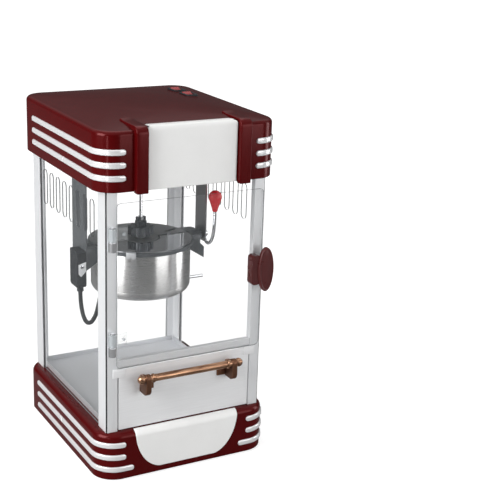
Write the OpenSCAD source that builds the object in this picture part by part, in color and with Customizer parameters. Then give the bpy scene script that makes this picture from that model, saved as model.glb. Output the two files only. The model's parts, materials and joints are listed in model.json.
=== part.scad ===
// Table-top popcorn maker. X is to the right, Y to the rear, Z up, and the feet stand on z = 0.

/* [Base] */
// Width of the base and of the canopy
body_w = 246; // [236:1:300]
// Depth of the base and of the canopy
body_d = 282; // [274:1:340]
// Radius of the base's upright corners
base_corner_r = 31; // [24:1:36]
// Height of the base's top face above the table
base_top_z = 65.5; // [60:0.5:90]
// Radius of the base's top edge
base_edge_r = 8; // [4:0.5:9]
// Wall of the base and canopy mouldings
wall = 2.5; // [2:0.1:3]
// Gap between the table and the base housing
foot_drop = 1.5; // [1:0.5:6]
// Radius of a rubber foot
foot_r = 11; // [7:0.5:13]

/* [Cabin] */
// Inset of the posts' outer faces from the body's sides
cabin_inset_x = 11.8; // [10:0.1:15]
// Inset of the posts' outer faces from the body's front and rear
cabin_inset_y = 10.4; // [10:0.1:14]
// Height from the base's top face to the canopy's lower edge
cabin_h = 319.5; // [312:0.5:380]
// Width of a post's leg on the front or rear face
post_front_leg = 15.5; // [14:0.5:18]
// Width of a post's leg on the side face
post_side_leg = 26; // [20:0.5:30]
// Thickness of a post's legs
post_t = 6; // [5.6:0.1:7]
// Thickness of the post's skin outside a window
post_skin = 1.4; // [1:0.1:1.6]
// Depth of the grooves that hold the windows
groove_depth = 9; // [6:0.5:10]
// Thickness of the clear windows
window_t = 2.5; // [2:0.1:2.8]
// Number of vent slots in a side window
slot_count = 8; // [4:1:8]
// Width of a vent slot
slot_w = 13; // [8:0.5:15]
// Height of a vent slot
slot_h = 48.5; // [30:0.5:60]
// Distance between vent slots
slot_pitch = 24; // [20:0.5:25]

/* [Canopy] */
// Radius of the canopy's upright corners
canopy_corner_r = 28; // [22:1:32]
// Height of the canopy's straight side
canopy_side_h = 69; // [66:0.5:84]
// Radius of the canopy's top edge
canopy_edge_r = 6; // [4:0.5:8]
// Rise of the dome above the top edge
dome_rise = 8; // [4:0.5:12]
// Distance over which the dome rises
dome_run = 100; // [60:5:110]
// Distance from the canopy's lower edge up to the ceiling plate
ceiling_recess = 2; // [1:0.5:4]
// Thickness of the ceiling plate
ceiling_t = 1.2; // [1:0.1:2]

/* [Canopy trim] */
// Inset of each rib's centre from the canopy's side
rib_inset = 52.5; // [46:0.5:57]
// Width of a rib
rib_w = 16; // [10:0.5:18]
// How far the ribs stand out from the canopy's front
rib_proud = 8; // [4:0.5:12]
// Height of the ribs
rib_h = 82.5; // [80:0.5:90]
// How far the ribs run back over the top
rib_run = 69; // [40:1:90]
// Thickness of the front panel
panel_t = 1.5; // [1:0.1:3]
// Height of the front panel
panel_h = 79.6; // [60:0.2:88]

/* [Stripes] */
// Height of a trim stripe
stripe_h = 7.5; // [5:0.1:9]
// How far the stripes stand out
stripe_proud = 2; // [1:0.1:4]
// Distance between the canopy's stripes
canopy_stripe_pitch = 16; // [12:0.5:20]
// Height of the lowest canopy stripe above the canopy's lower edge
canopy_stripe_z = 17.5; // [10:0.5:24]
// Distance between the base's stripes
base_stripe_pitch = 17; // [12:0.5:18]
// Height of the lowest base stripe above the table
base_stripe_z = 16; // [12:0.5:18]
// Distance of the stripes' rear ends from the body's rear
stripe_rear_inset = 48; // [41:1:80]
// Distance of the stripes' front ends from the body's side
stripe_front_inset = 34; // [33:0.5:39]

/* [Door] */
// Inset of the door's hinge edge from the posts' outer faces
door_hinge_inset = 13.2; // [12.5:0.1:16]
// Inset of the door's free edge from the posts' outer faces
door_edge_inset = 3.7; // [2.5:0.1:6]
// Height of the door panel
door_h = 216.5; // [190:0.5:225]
// Thickness of the door panel
door_t = 3; // [2:0.1:4]
// Gap between the door panel and the posts
door_gap = 0.4; // [0.3:0.05:1]
// Radius of a hinge knuckle
knuckle_r = 5; // [4:0.1:5.5]
// Radius of a hinge pin
hinge_pin_r = 1.8; // [1.2:0.1:2.4]
// Width of the oval door knob
knob_w = 22.5; // [16:0.5:26]
// Height of the oval door knob
knob_h = 60; // [40:1:70]
// Distance of the knob's face from the door panel
knob_reach = 17; // [12:0.5:24]

/* [Flap] */
// Height of the flap
flap_h = 84.8; // [76:0.2:100]
// Thickness of the flap's sheet
flap_t = 1.2; // [0.8:0.1:1.6]
// Depth of the flap's folded edges
flap_fold = 8.6; // [8:0.1:9]
// Gap between the flap and the base
flap_floor_gap = 1.9; // [1.9:0.1:4]
// Height of the rail above the flap
rail_h = 9.4; // [7:0.2:14]

/* [Flap handle] */
// Length of the handle bar between its brackets
bar_l = 118; // [90:1:140]
// Radius of the handle bar
bar_r = 4.8; // [4:0.1:5]
// Radius of the balls at the bar's ends
ball_r = 5.5; // [4:0.1:7]
// Height of the bar above the flap's lower edge
bar_rise = 72.1; // [50:0.1:74]
// Distance of the bar's centre from the flap's face
bar_reach = 17; // [13:0.5:24]

/* [Kettle] */
// Gap between the pot and the hanger straps
pot_gap = 22.7; // [21:0.1:30]
// Height of the pot's wall
pot_h = 64; // [56:1:72]
// Height of the kettle's tilt axis above the floor of the cabin
tilt_rise = 204.5; // [190:0.5:225]
// Distance of the kettle's axis behind the middle of the cabin
kettle_y = 13; // [6:1:20]
// Thickness of the pot's sheet
pot_t = 1; // [0.8:0.1:1.5]
// Thickness of the rim casting
rim_h = 4.7; // [3.5:0.1:6]
// How far the rim casting stands out from the pot
rim_overhang = 3.7; // [2.7:0.1:5.7]
// Thickness of the lids
lid_t = 1.2; // [1:0.1:1.6]
// Radius of the kettle's pivot pins
pivot_r = 3; // [2:0.1:4]
// Inset of the straps' inner faces from the posts' outer faces
strap_inset = 20.2; // [19.4:0.2:23]
// Thickness of the hanger straps
strap_t = 2; // [1.5:0.1:3]

/* [Stirrer] */
// Radius of the gear's toothed disc, over its lobes
gear_r = 17.5; // [14:0.5:18]
// Height of the gear's toothed disc
gear_h = 12; // [10:0.5:12]
// Radius of the drive shaft
drive_r = 2.2; // [1.6:0.1:2.4]
// Radius of the stirrer's shaft
stir_r = 2.5; // [2:0.1:3.5]
// Height of the drive shaft's tip above the tilt axis
drive_tip_rise = 30.6; // [30.4:0.2:34]

/* [Tilt handle] */
// Radius of the bent handle rod
rod_r = 2.25; // [1.8:0.05:3]
// Radius of the red knob
tilt_knob_r = 9.2; // [7:0.1:11]
// Height of the red knob
tilt_knob_h = 30; // [24:1:36]

/* [Fits] */
// Radial clearance of the pins and shafts that turn
running = 0.05; // [0.02:0.01:0.08]
// Clearance between the windows and their grooves
glass_clear = 0.2; // [0.1:0.05:0.4]

/* [Hidden] */

smooth = 64;
fine = 32;
seat_gap = 0.3;
cut = 1;

// Fasteners
screw_r = 1.5;
screw_clear = 0.1;
screw_head_r = 3;
screw_head_h = 2;

// Heights
canopy_z = base_top_z + cabin_h;
ceiling_z = canopy_z + ceiling_recess;
ceiling_top_z = ceiling_z + ceiling_t;
floor_t = 1.2;
floor_lip_h = 8;

// Stripes and ribs
stripe_rear_y = body_d / 2 - stripe_rear_inset;
stripe_front_x = body_w / 2 - stripe_front_inset;
rib_x = body_w / 2 - rib_inset;

// Posts and windows
post_x = body_w / 2 - cabin_inset_x;
post_y = body_d / 2 - cabin_inset_y;
port_x = post_x - post_t / 2;
port_y = post_y - post_t / 2;
port_r = screw_r + screw_clear;
port_depth = 20;
side_glass_x = post_x - post_skin - glass_clear - window_t;
rear_glass_y = post_y - post_skin - glass_clear - window_t;
glass_reach = groove_depth - 0.5;
slot_first_y = 50.6 - post_y;
slot_z = ceiling_z - 72;
corner_groove = 1.6;

// Flap and its hinge
flap_front_y = -(post_y + 0.4);
flap_z = base_top_z + flap_floor_gap;
flap_top_z = flap_z + flap_h;
flap_half_w = post_x - post_front_leg - 1.6;
flap_pin_y = -port_y;
flap_pin_z = flap_z + 4.1;
flap_pin_r = 1.5;
flap_pin_in = 5;
ear_h = 11.8;
ear_overlap = 6.8;
ear_inset = 8;
floor_front_y = flap_pin_y + 4.8;

// Door, placed above the flap
door_z = flap_top_z + 1;
door_back_y = -(post_y + door_gap);
door_front_y = door_back_y - door_t;
door_left_x = -(post_x - door_hinge_inset);
door_w = 2 * post_x - door_hinge_inset - door_edge_inset;
door_corner_r = 6;
hinge_x = -(post_x - 6.7);
hinge_y = door_back_y - knuckle_r;
hinge_bore_r = hinge_pin_r + running;
lower_hinge_z = door_z + 19.3;
upper_hinge_z = door_z + door_h - 59.7;
barrel_h = 13;
knuckle_h = 16.5;
leaf_t = 2;
leaf_reach = 20;
knob_x = door_left_x + door_w - 1.5;
knob_z = door_z + door_h / 2 + 2.55;
knob_t = 7;
neck_x = post_x - post_front_leg - door_edge_inset;
neck_w = 12;
neck_h = 40;
magnet_x = post_x - post_front_leg / 2;
magnet_r = 4;
magnet_t = 2;

// Rail across the front behind the door's lower edge
rail_z = door_z + 0.4;
rail_t = 1;
rail_front_y = -(post_y - 0.2);
rail_tab = 5.5;

// Handle on the flap
bar_y = flap_front_y - bar_reach;
bar_z = flap_z + bar_rise;
bracket_x = bar_l / 2 + 3;
bracket_w = 7;
lug_wall = 1.3;
bracket_foot_t = 2.5;
bracket_foot_w = 12;
lug_r = max(bar_r + lug_wall, ball_r);
bracket_drop = bar_reach + lug_r;
bracket_heel_r = 9;

// Kettle, hung on the tilt axis
strap_x = post_x - strap_inset;
pot_r = strap_x - pot_gap;
rim_r = pot_r + rim_overhang;
tilt_y = kettle_y;
tilt_z = base_top_z + tilt_rise;
rim_top_z = tilt_z + 4;
rim_z = rim_top_z - rim_h;
pan_flange_t = 1.2;
pot_top_z = rim_z - pan_flange_t - 0.1;
pot_z = pot_top_z - pot_h;
pot_bottom_r = 10;
pan_r = pot_r - 3.3;
pan_floor_z = pot_z + 18;
pan_flange_r = pot_r + 1.2;
rim_inner_r = pan_r - 1;
lid_z = rim_top_z + 0.2;
lid_r = rim_r - 2;
lid_hinge_y = kettle_y - 2.5;
lid_hinge_z = lid_z + lid_t / 2 + 0.2;
tongue_r = gear_r + 7;
lid_cut_r = tongue_r + 2;
ear_x = strap_x - 0.6;
pivot_bore_r = pivot_r + running;
boss_r = pivot_r + 3.5;
peg_drop = 58;
peg_forward = 13;
strap_hole_edge = 8;
left_strap_front_y = -19;
left_strap_rear_y = 29;
right_strap_front_y = -3;
right_strap_rear_y = 28;
left_strap_drop = 20;
strap_flange = 16;
rear_slot_w = 5;
rear_slot_l = 22;
rear_slot_x = lid_r - 18;
rear_slot_back = 15;
rear_slot_turn = 20;

// Stirrer and drive
stem_z = lid_z + lid_t + 1.3;
disc_z = tilt_z + 22 - gear_h;
disc_top_z = tilt_z + 22;
crown_z = tilt_z + 29;
prong_z = crown_z + 5.5;
lobe_r = 3.4;
lobe_count = 8;
stem_r = 7.5;
drive_tip_z = tilt_z + drive_tip_rise;
blade_r = pan_r - 11;
blade_h = 10;
blade_t = 1.5;
motor_r = 25;
motor_h = 22;
gearbox_w = 60;
gearbox_d = 50;
gearbox_h = 22;
output_r = 7;
output_drop = 3;

// Tilt handle, outside the right strap
handle_x = strap_x + strap_t + 4;
handle_hub_r = 5.5;
handle_hub_l = 6.8;
rod_route = [[0, 0, 0], [0, -4, -7], [0, -10, -10.8], [0, -16, -10.2], [0, -22, -6], [0, -26.5, 0],
    [0, -29.5, 8], [0, -31.5, 18], [0, -32.5, 28], [0, -32.5, 40]];
rod_sides = 12;

// Connector and lead of the kettle
connector_w = 13;
connector_y = -22;
connector_d = 28;
connector_h = 50;
connector_z = tilt_z - 44;
connector_r = 5;
lead_r = 2.8;
lead_sides = 8;
lead_x = -(strap_x + 7.5);
lead_path = [[-12, 226], [-12, 219], [-13, 208], [-16, 197], [-22, 188], [-31, 183], [-41, 184],
    [-51, 189], [-60, 197], [-68, 207], [-75, 220], [-82, 236], [-87, 256], [-91, 280],
    [-93, 305], [-94, 330], [-94, 355], [-94, 380], [-94, 398]];
lead_route = [for (p = lead_path) [lead_x, p[0], p[1]]];

// Lamp
lamp_x = 50;
lamp_y = 82;
socket_r = 13;
socket_h = 30;
bulb_r = 14;
bulb_h = 34;

// Switches
switch_x = 77;
switch_ys = [29, 66];
bezel_w = 17;
bezel_d = 23;
bezel_rim = 2.2;
bezel_h = 3.6;
bezel_body_h = 16;
rocker_gap = 0.6;
rocker_tilt = 8;
rocker_pin_r = 1.2;
dome_top_z = canopy_z + canopy_side_h + canopy_edge_r + dome_rise;
bezel_z = dome_top_z - 4.2;
rocker_pin_z = bezel_z - 1.5;
rocker_up = 5.6;
rocker_down = 4;

// Cord gland, reaching as far behind the canopy as the handle reaches in front
gland_x = body_w / 2 - 43;
gland_z = canopy_z + 20;
gland_r = 6.5;
gland_flange_r = 9.5;
gland_bore_r = 3.6;
gland_end_y = -(bar_y - lug_r);

// Vents in the canopy's rear wall
vent_count = 7;
vent_w = 4;
vent_h = 26;
vent_pitch = 11;
vent_z = canopy_z + 30;

// Colours
burgundy = [0.36, 0.03, 0.05];
pale = [0.90, 0.90, 0.90];
silver = [0.80, 0.81, 0.83];
chrome = [0.86, 0.87, 0.89];
dark_grey = [0.24, 0.25, 0.26];
black = [0.06, 0.06, 0.07];
copper = [0.60, 0.36, 0.22];
clear = [0.85, 0.92, 0.95, 0.3];

// Shared shapes

module rounded_rect(w, d, r) {
    square([w - 2 * r, d], center = true);
    square([w, d - 2 * r], center = true);
    for (sx = [-1, 1], sy = [-1, 1])
        translate([sx * (w / 2 - r), sy * (d / 2 - r)]) circle(r, $fn = smooth);
}

module at_corner(sx, sy) {
    mirror([sx < 0 ? 1 : 0, 0, 0]) mirror([0, sy < 0 ? 1 : 0, 0]) children();
}

// Half of a section whose outer top edge is rounded
module edge_profile(reach, height, edge_r) {
    square([reach - edge_r, height]);
    square([reach, height - edge_r]);
    translate([reach - edge_r, height - edge_r]) circle(edge_r, $fn = smooth);
}

// Rounded box with a rounded top edge
module rounded_block(w, d, h, r, edge_r) {
    inner_w = w - 2 * r;
    inner_d = d - 2 * r;
    for (turn = [0, 180]) rotate([0, 0, turn]) {
        translate([inner_w / 2, inner_d / 2, 0])
            rotate_extrude(angle = 90, $fn = smooth) edge_profile(r, h, edge_r);
        translate([-inner_w / 2, inner_d / 2, 0]) rotate([0, 0, 90])
            rotate_extrude(angle = 90, $fn = smooth) edge_profile(r, h, edge_r);
        translate([0, inner_d / 2, 0]) rotate([90, 0, 90])
            linear_extrude(inner_w, center = true) edge_profile(r, h, edge_r);
        translate([inner_w / 2, 0, 0]) rotate([90, 0, 0])
            linear_extrude(inner_d, center = true) edge_profile(r, h, edge_r);
    }
    translate([-inner_w / 2, -inner_d / 2, 0]) cube([inner_w, inner_d, h]);
}

// Cylinder along X from x0 to x1
module x_rod(x0, x1, y, z, r) {
    translate([x0, y, z]) rotate([0, 90, 0]) cylinder(r = r, h = x1 - x0, $fn = smooth);
}

// Cylinder along Y from y0 to y1
module y_rod(y0, y1, x, z, r) {
    translate([x, y1, z]) rotate([90, 0, 0]) cylinder(r = r, h = y1 - y0, $fn = smooth);
}

// Stripe round a front corner, ending in half circles
module corner_stripe(w, d, r, z, front_x) {
    end_r = stripe_h / 2;
    translate([w / 2 - r, -(d / 2 - r), z - end_r]) rotate([0, 0, -90])
        rotate_extrude(angle = 90, $fn = smooth) translate([r, 0]) square([stripe_proud, stripe_h]);
    translate([w / 2, 0, z]) rotate([90, 0, 90]) linear_extrude(stripe_proud) {
        translate([-(d / 2 - r), -end_r]) square([d / 2 - r + stripe_rear_y - end_r, stripe_h]);
        translate([stripe_rear_y - end_r, 0]) circle(end_r, $fn = fine);
    }
    translate([0, -d / 2, z]) rotate([90, 0, 0]) linear_extrude(stripe_proud) {
        translate([front_x + end_r, -end_r]) square([w / 2 - r - front_x - end_r, stripe_h]);
        translate([front_x + end_r, 0]) circle(end_r, $fn = fine);
    }
}

// Pan-head screw pointing down, its head's underside at the origin
module screw(length) {
    cylinder(r = screw_head_r, h = screw_head_h, $fn = fine);
    translate([0, 0, -length]) cylinder(r = screw_r, h = length + screw_head_h / 2, $fn = fine);
}

// Base

foot_x = body_w / 2 - 30;
foot_y = body_d / 2 - 34;
foot_t = 3;
bottom_plate_z = foot_t;
bottom_plate_t = 1.2;
boss_x = foot_x - 26;
boss_y = foot_y;
screw_boss_r = 4;
boss_screw_l = 10;

module rubber_feet() {
    color(black) for (sx = [-1, 1], sy = [-1, 1])
        translate([sx * foot_x, sy * foot_y, 0]) cylinder(r = foot_r, h = foot_t, $fn = smooth);
}

module base_bottom_plate() {
    gap = 2 * (wall + seat_gap);
    color(silver) difference() {
        translate([0, 0, bottom_plate_z]) linear_extrude(bottom_plate_t)
            rounded_rect(body_w - gap, body_d - gap, base_corner_r - gap / 2);
        for (sx = [-1, 1], sy = [-1, 1])
            translate([sx * boss_x, sy * boss_y, 0])
                cylinder(r = port_r, h = bottom_plate_z + 2 * bottom_plate_t, $fn = fine);
    }
}

module base_shell() {
    cavity_top = base_top_z - wall;
    boss_bottom = bottom_plate_z + bottom_plate_t;
    color(burgundy) difference() {
        translate([0, 0, foot_drop]) rounded_block(body_w, body_d, base_top_z - foot_drop,
            base_corner_r, base_edge_r);
        difference() {
            translate([0, 0, foot_drop - cut]) linear_extrude(cavity_top - foot_drop + cut)
                rounded_rect(body_w - 2 * wall, body_d - 2 * wall, base_corner_r - wall);
            for (sx = [-1, 1], sy = [-1, 1])
                translate([sx * boss_x, sy * boss_y, boss_bottom])
                    cylinder(r = screw_boss_r, h = cavity_top - boss_bottom + cut, $fn = fine);
        }
        for (sx = [-1, 1], sy = [-1, 1]) {
            translate([sx * boss_x, sy * boss_y, boss_bottom - cut])
                cylinder(r = port_r, h = boss_screw_l + 2 * cut, $fn = fine);
            translate([sx * port_x, sy * port_y, cavity_top - cut])
                cylinder(r = port_r, h = wall + 2 * cut, $fn = fine);
        }
    }
}

plate_inset = 48.5;
plate_curve_w = 38.5;
plate_top_w = body_w - 2 * plate_inset;
plate_bottom_w = plate_top_w - 2 * plate_curve_w;
plate_bottom_z = 9.5;
plate_t = 1.2;

// Sheet that follows the base's front face and its rounded top edge
module front_plate_sheet() {
    top_back_y = -(body_d / 2 - base_edge_r);
    translate([-plate_top_w / 2, 0, 0]) rotate([90, 0, 90]) linear_extrude(plate_top_w)
        difference() {
            union() {
                translate([-body_d / 2 - plate_t, plate_bottom_z])
                    square([base_edge_r + plate_t, base_top_z - base_edge_r - plate_bottom_z]);
                translate([top_back_y, base_top_z - base_edge_r])
                    circle(base_edge_r + plate_t, $fn = smooth);
            }
            translate([top_back_y, base_top_z - base_edge_r]) circle(base_edge_r, $fn = smooth);
            translate([-body_d / 2, -cut])
                square([2 * base_edge_r, base_top_z - base_edge_r + cut]);
            translate([top_back_y, -cut]) square([2 * base_edge_r, base_top_z + 2 * plate_t]);
        }
}

// Outline with straight top and elliptical lower corners
module front_plate_outline() {
    rx = (plate_top_w - plate_bottom_w) / 2;
    rz = base_top_z + plate_t - plate_bottom_z;
    right_side = [for (a = [0 : 6 : 90])
        [plate_bottom_w / 2 + rx * sin(a), plate_bottom_z + rz * (1 - cos(a))]];
    left_side = [for (i = [len(right_side) - 1 : -1 : 0]) [-right_side[i][0], right_side[i][1]]];
    top_z = base_top_z + 2 * plate_t;
    polygon(concat(right_side, [[plate_top_w / 2, top_z], [-plate_top_w / 2, top_z]], left_side));
}

module base_front_plate() {
    color(pale) intersection() {
        front_plate_sheet();
        translate([0, -body_d / 2 + base_edge_r + cut, 0]) rotate([90, 0, 0])
            linear_extrude(base_edge_r + 4 * cut) front_plate_outline();
    }
}

low_stripe_front_x = body_w / 2 - stripe_front_inset - 12;

module base_stripes() {
    color(silver) for (side = [0, 1]) mirror([side, 0, 0]) {
        corner_stripe(body_w, body_d, base_corner_r, base_stripe_z, low_stripe_front_x);
        for (i = [1, 2])
            corner_stripe(body_w, body_d, base_corner_r, base_stripe_z + i * base_stripe_pitch,
                stripe_front_x - 1);
    }
}

module cabin_floor() {
    half_w = post_x - post_t - seat_gap;
    rear_y = post_y - post_t - seat_gap;
    lip_t = 1;
    depth = rear_y - floor_front_y;
    color(silver) translate([0, 0, base_top_z]) {
        translate([-half_w, floor_front_y, 0]) cube([2 * half_w, depth, floor_t]);
        for (sx = [-1, 1]) translate([sx * (half_w - lip_t / 2) - lip_t / 2, floor_front_y, 0])
            cube([lip_t, depth, floor_lip_h]);
        translate([-half_w, rear_y - lip_t, 0]) cube([2 * half_w, lip_t, floor_lip_h]);
    }
}

// Canopy screws hold the canopy's bosses to the ceiling plate
canopy_boss_x = body_w / 2 - wall - screw_head_r - seat_gap;
canopy_boss_y = 44;

module plate_screws() {
    color(chrome) {
        for (sx = [-1, 1], sy = [-1, 1])
            translate([sx * boss_x, sy * boss_y, bottom_plate_z]) mirror([0, 0, 1])
                screw(boss_screw_l);
        for (sx = [-1, 1], sy = [-1, 1])
            translate([sx * canopy_boss_x, sy * canopy_boss_y, ceiling_z]) mirror([0, 0, 1])
                screw(boss_screw_l);
    }
}

// Cabin

// L section of a post in the quadrant where x and y are positive
module post_section(rear) {
    groove_w = window_t + 2 * glass_clear;
    difference() {
        union() {
            translate([post_x - post_t, post_y - post_side_leg]) square([post_t, post_side_leg]);
            translate([post_x - post_front_leg, post_y - post_t])
                square([post_front_leg, post_t]);
        }
        translate([post_x - post_skin - groove_w, post_y - post_side_leg - cut])
            square([groove_w, groove_depth + cut]);
        if (rear)
            translate([post_x - post_front_leg - cut, post_y - post_skin - groove_w])
                square([groove_depth - 2 + cut, groove_w]);
        translate([post_x - corner_groove, post_y - post_t]) square(corner_groove + cut);
    }
}

module corner_post(sx, sy) {
    color(silver) at_corner(sx, sy) difference() {
        translate([0, 0, base_top_z]) linear_extrude(ceiling_z - base_top_z)
            post_section(sy > 0);
        translate([port_x, port_y, base_top_z - cut])
            cylinder(r = port_r, h = port_depth + cut, $fn = fine);
        translate([port_x, port_y, ceiling_z - port_depth])
            cylinder(r = port_r, h = port_depth + cut, $fn = fine);
        if (sy < 0)
            x_rod(post_x - post_front_leg - cut, post_x - post_front_leg + flap_pin_in + seat_gap,
                port_y, flap_pin_z, flap_pin_r + running);
        if (sy < 0 && sx > 0)
            y_rod(post_y - magnet_t, post_y + cut, magnet_x, knob_z, magnet_r + running);
    }
}

module post_front_left() { corner_post(-1, -1); }

module post_front_right() { corner_post(1, -1); }

module post_rear_left() { corner_post(-1, 1); }

module post_rear_right() { corner_post(1, 1); }

module post_screws() {
    length = port_depth - 4;
    color(chrome) for (sx = [-1, 1], sy = [-1, 1]) {
        translate([sx * port_x, sy * port_y, base_top_z - wall]) mirror([0, 0, 1]) screw(length);
        translate([sx * port_x, sy * port_y, ceiling_top_z]) screw(length);
    }
}

module side_window() {
    half_l = post_y - post_side_leg + glass_reach;
    z0 = base_top_z + seat_gap;
    slot_r = slot_w / 2;
    difference() {
        translate([side_glass_x, -half_l, z0])
            cube([window_t, 2 * half_l, ceiling_z - seat_gap - z0]);
        for (i = [0 : slot_count - 1])
            translate([side_glass_x - cut, slot_first_y + i * slot_pitch, slot_z + slot_r])
                rotate([90, 0, 90]) linear_extrude(window_t + 2 * cut) {
                    translate([-slot_r, 0]) square([slot_w, slot_h - slot_w]);
                    circle(slot_r, $fn = fine);
                    translate([0, slot_h - slot_w]) circle(slot_r, $fn = fine);
                }
    }
}

module window_left() { color(clear) mirror([1, 0, 0]) side_window(); }

module window_right() { color(clear) side_window(); }

module window_rear() {
    half_w = post_x - post_front_leg + groove_depth - 2.5;
    z0 = base_top_z + seat_gap;
    color(clear) translate([-half_w, rear_glass_y, z0])
        cube([2 * half_w, window_t, ceiling_z - seat_gap - z0]);
}

module front_rail() {
    half_w = post_x - post_front_leg - seat_gap;
    back_y = -(post_y - post_t - seat_gap);
    depth = back_y + rail_t - rail_front_y;
    color(silver) {
        translate([-half_w, rail_front_y, rail_z]) cube([2 * half_w, rail_t, rail_h]);
        for (z = [rail_z, rail_z + rail_h - rail_t])
            translate([-half_w, rail_front_y, z]) cube([2 * half_w, depth, rail_t]);
        for (sx = [-1, 1])
            translate([sx * half_w - rail_tab, back_y, rail_z])
                cube([2 * rail_tab, rail_t, rail_h]);
    }
}

// Flap and its handle

module flap_panel() {
    color(silver) difference() {
        union() {
            translate([-flap_half_w, flap_front_y, flap_z])
                cube([2 * flap_half_w, flap_t, flap_h]);
            for (sx = [-1, 1])
                translate([sx * (flap_half_w - flap_t / 2) - flap_t / 2, flap_front_y, flap_z])
                    cube([flap_t, flap_fold, flap_h]);
            translate([-flap_half_w, flap_front_y, flap_top_z - flap_t])
                cube([2 * flap_half_w, flap_fold - 1, flap_t]);
            for (sx = [-1, 1]) {
                inner_x = flap_half_w - ear_inset;
                ear_w = ear_inset + 1.6 + ear_overlap;
                translate([sx * (inner_x + ear_w / 2) - ear_w / 2, flap_front_y - flap_t,
                    flap_top_z - ear_h]) cube([ear_w, flap_t, ear_h]);
            }
        }
        for (sx = [-1, 1]) {
            x_rod(sx * flap_half_w - 2 * flap_t, sx * flap_half_w + 2 * flap_t, flap_pin_y,
                flap_pin_z, flap_pin_r + running);
            y_rod(flap_front_y - cut, flap_front_y + flap_t + cut, sx * handle_screw_x,
                handle_screw_z, port_r);
        }
    }
}

module flap_hinge_pins() {
    inner_x = flap_half_w - 3;
    length = post_x - post_front_leg + flap_pin_in - inner_x;
    color(chrome) for (sx = [-1, 1])
        x_rod(sx * (inner_x + length / 2) - length / 2, sx * (inner_x + length / 2) + length / 2,
            flap_pin_y, flap_pin_z, flap_pin_r);
}

collar_r = bar_r + 1.1;
collar_w = 3;
ball_x = bracket_x + bracket_w / 2 + ball_r - 1.2;

module handle_bar() {
    color(copper) {
        x_rod(-ball_x, ball_x, bar_y, bar_z, bar_r);
        for (sx = [-1, 1]) {
            translate([sx * ball_x, bar_y, bar_z]) sphere(ball_r, $fn = smooth);
            x_rod(sx * (bracket_x - bracket_w / 2 - collar_w) - collar_w / 2,
                sx * (bracket_x - bracket_w / 2 - collar_w) + collar_w / 2, bar_y, bar_z,
                collar_r);
        }
    }
}

handle_screw_x = bracket_x - bracket_w / 2 - bracket_foot_w / 2;
handle_screw_z = bar_z - bracket_drop / 2 - 3;

module handle_brackets() {
    color([0.20, 0.12, 0.08]) for (sx = [-1, 1]) difference() {
        union() {
            translate([sx * bracket_x - bracket_w / 2, 0, 0]) rotate([90, 0, 90])
                linear_extrude(bracket_w) {
                    translate([bar_y, bar_z]) circle(lug_r, $fn = smooth);
                    translate([flap_front_y - bracket_drop, bar_z - bracket_drop + bracket_heel_r])
                        square([bracket_drop, bracket_drop - bracket_heel_r]);
                    translate([flap_front_y - bracket_drop + bracket_heel_r, bar_z - bracket_drop])
                        square([bracket_drop - bracket_heel_r, bracket_heel_r + cut]);
                    translate([flap_front_y - bracket_drop + bracket_heel_r,
                        bar_z - bracket_drop + bracket_heel_r]) circle(bracket_heel_r, $fn = smooth);
                }
            translate([sx * handle_screw_x - bracket_foot_w / 2 - cut / 2,
                flap_front_y - bracket_foot_t, bar_z - bracket_drop + 2])
                cube([bracket_foot_w + cut, bracket_foot_t, bracket_drop - 8]);
        }
        x_rod(sx * bracket_x - bracket_w, sx * bracket_x + bracket_w, bar_y, bar_z,
            bar_r + running);
        y_rod(flap_front_y - bracket_foot_t - cut, flap_front_y + cut, sx * handle_screw_x,
            handle_screw_z, port_r);
    }
}

module handle_screws() {
    color(chrome) for (sx = [-1, 1])
        translate([sx * handle_screw_x, flap_front_y - bracket_foot_t, handle_screw_z])
            rotate([90, 0, 0]) screw(bracket_foot_t + flap_t + 2);
}

// Door

module door_panel() {
    color(clear) difference() {
        translate([door_left_x + door_w / 2, door_back_y, door_z + door_h / 2])
            rotate([90, 0, 0]) linear_extrude(door_t) rounded_rect(door_w, door_h, door_corner_r);
        y_rod(door_front_y - cut, door_back_y + cut, neck_x, knob_z, port_r);
        y_rod(door_back_y - magnet_t / 2, door_back_y + cut, magnet_x, knob_z,
            magnet_r + running);
    }
}

module door_knuckles() {
    color(clear) for (z = [lower_hinge_z, upper_hinge_z])
        translate([hinge_x, hinge_y, z + barrel_h + seat_gap]) difference() {
            union() {
                cylinder(r = knuckle_r, h = knuckle_h, $fn = smooth);
                translate([0, door_front_y - hinge_y - leaf_t, 0])
                    cube([leaf_reach, leaf_t, knuckle_h]);
            }
            translate([0, 0, -cut]) cylinder(r = hinge_bore_r, h = knuckle_h + 2 * cut,
                $fn = smooth);
        }
}

module door_hinge_barrels() {
    foot_w = 1.6 * knuckle_r;
    foot_d = -post_y - hinge_y;
    color(chrome) for (z = [lower_hinge_z, upper_hinge_z])
        translate([hinge_x, hinge_y, z]) difference() {
            union() {
                cylinder(r = knuckle_r, h = barrel_h, $fn = smooth);
                translate([-foot_w / 2, 0, 0]) cube([foot_w, foot_d, barrel_h]);
            }
            translate([0, 0, -cut]) cylinder(r = hinge_bore_r, h = barrel_h + 2 * cut,
                $fn = smooth);
        }
}

module door_hinge_pins() {
    head_h = 1.5;
    color(chrome) for (z = [lower_hinge_z, upper_hinge_z])
        translate([hinge_x, hinge_y, z + cut / 2]) {
            cylinder(r = hinge_pin_r, h = barrel_h + knuckle_h + 2 * seat_gap, $fn = smooth);
            translate([0, 0, barrel_h + knuckle_h + 2 * seat_gap - cut / 2])
                cylinder(r = 1.6 * hinge_pin_r, h = head_h, $fn = smooth);
        }
}

module oval(w, h) {
    polygon([for (a = [0 : 6 : 354]) [w / 2 * cos(a), h / 2 * sin(a)]]);
}

knob_screw_grip = 8;

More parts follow.
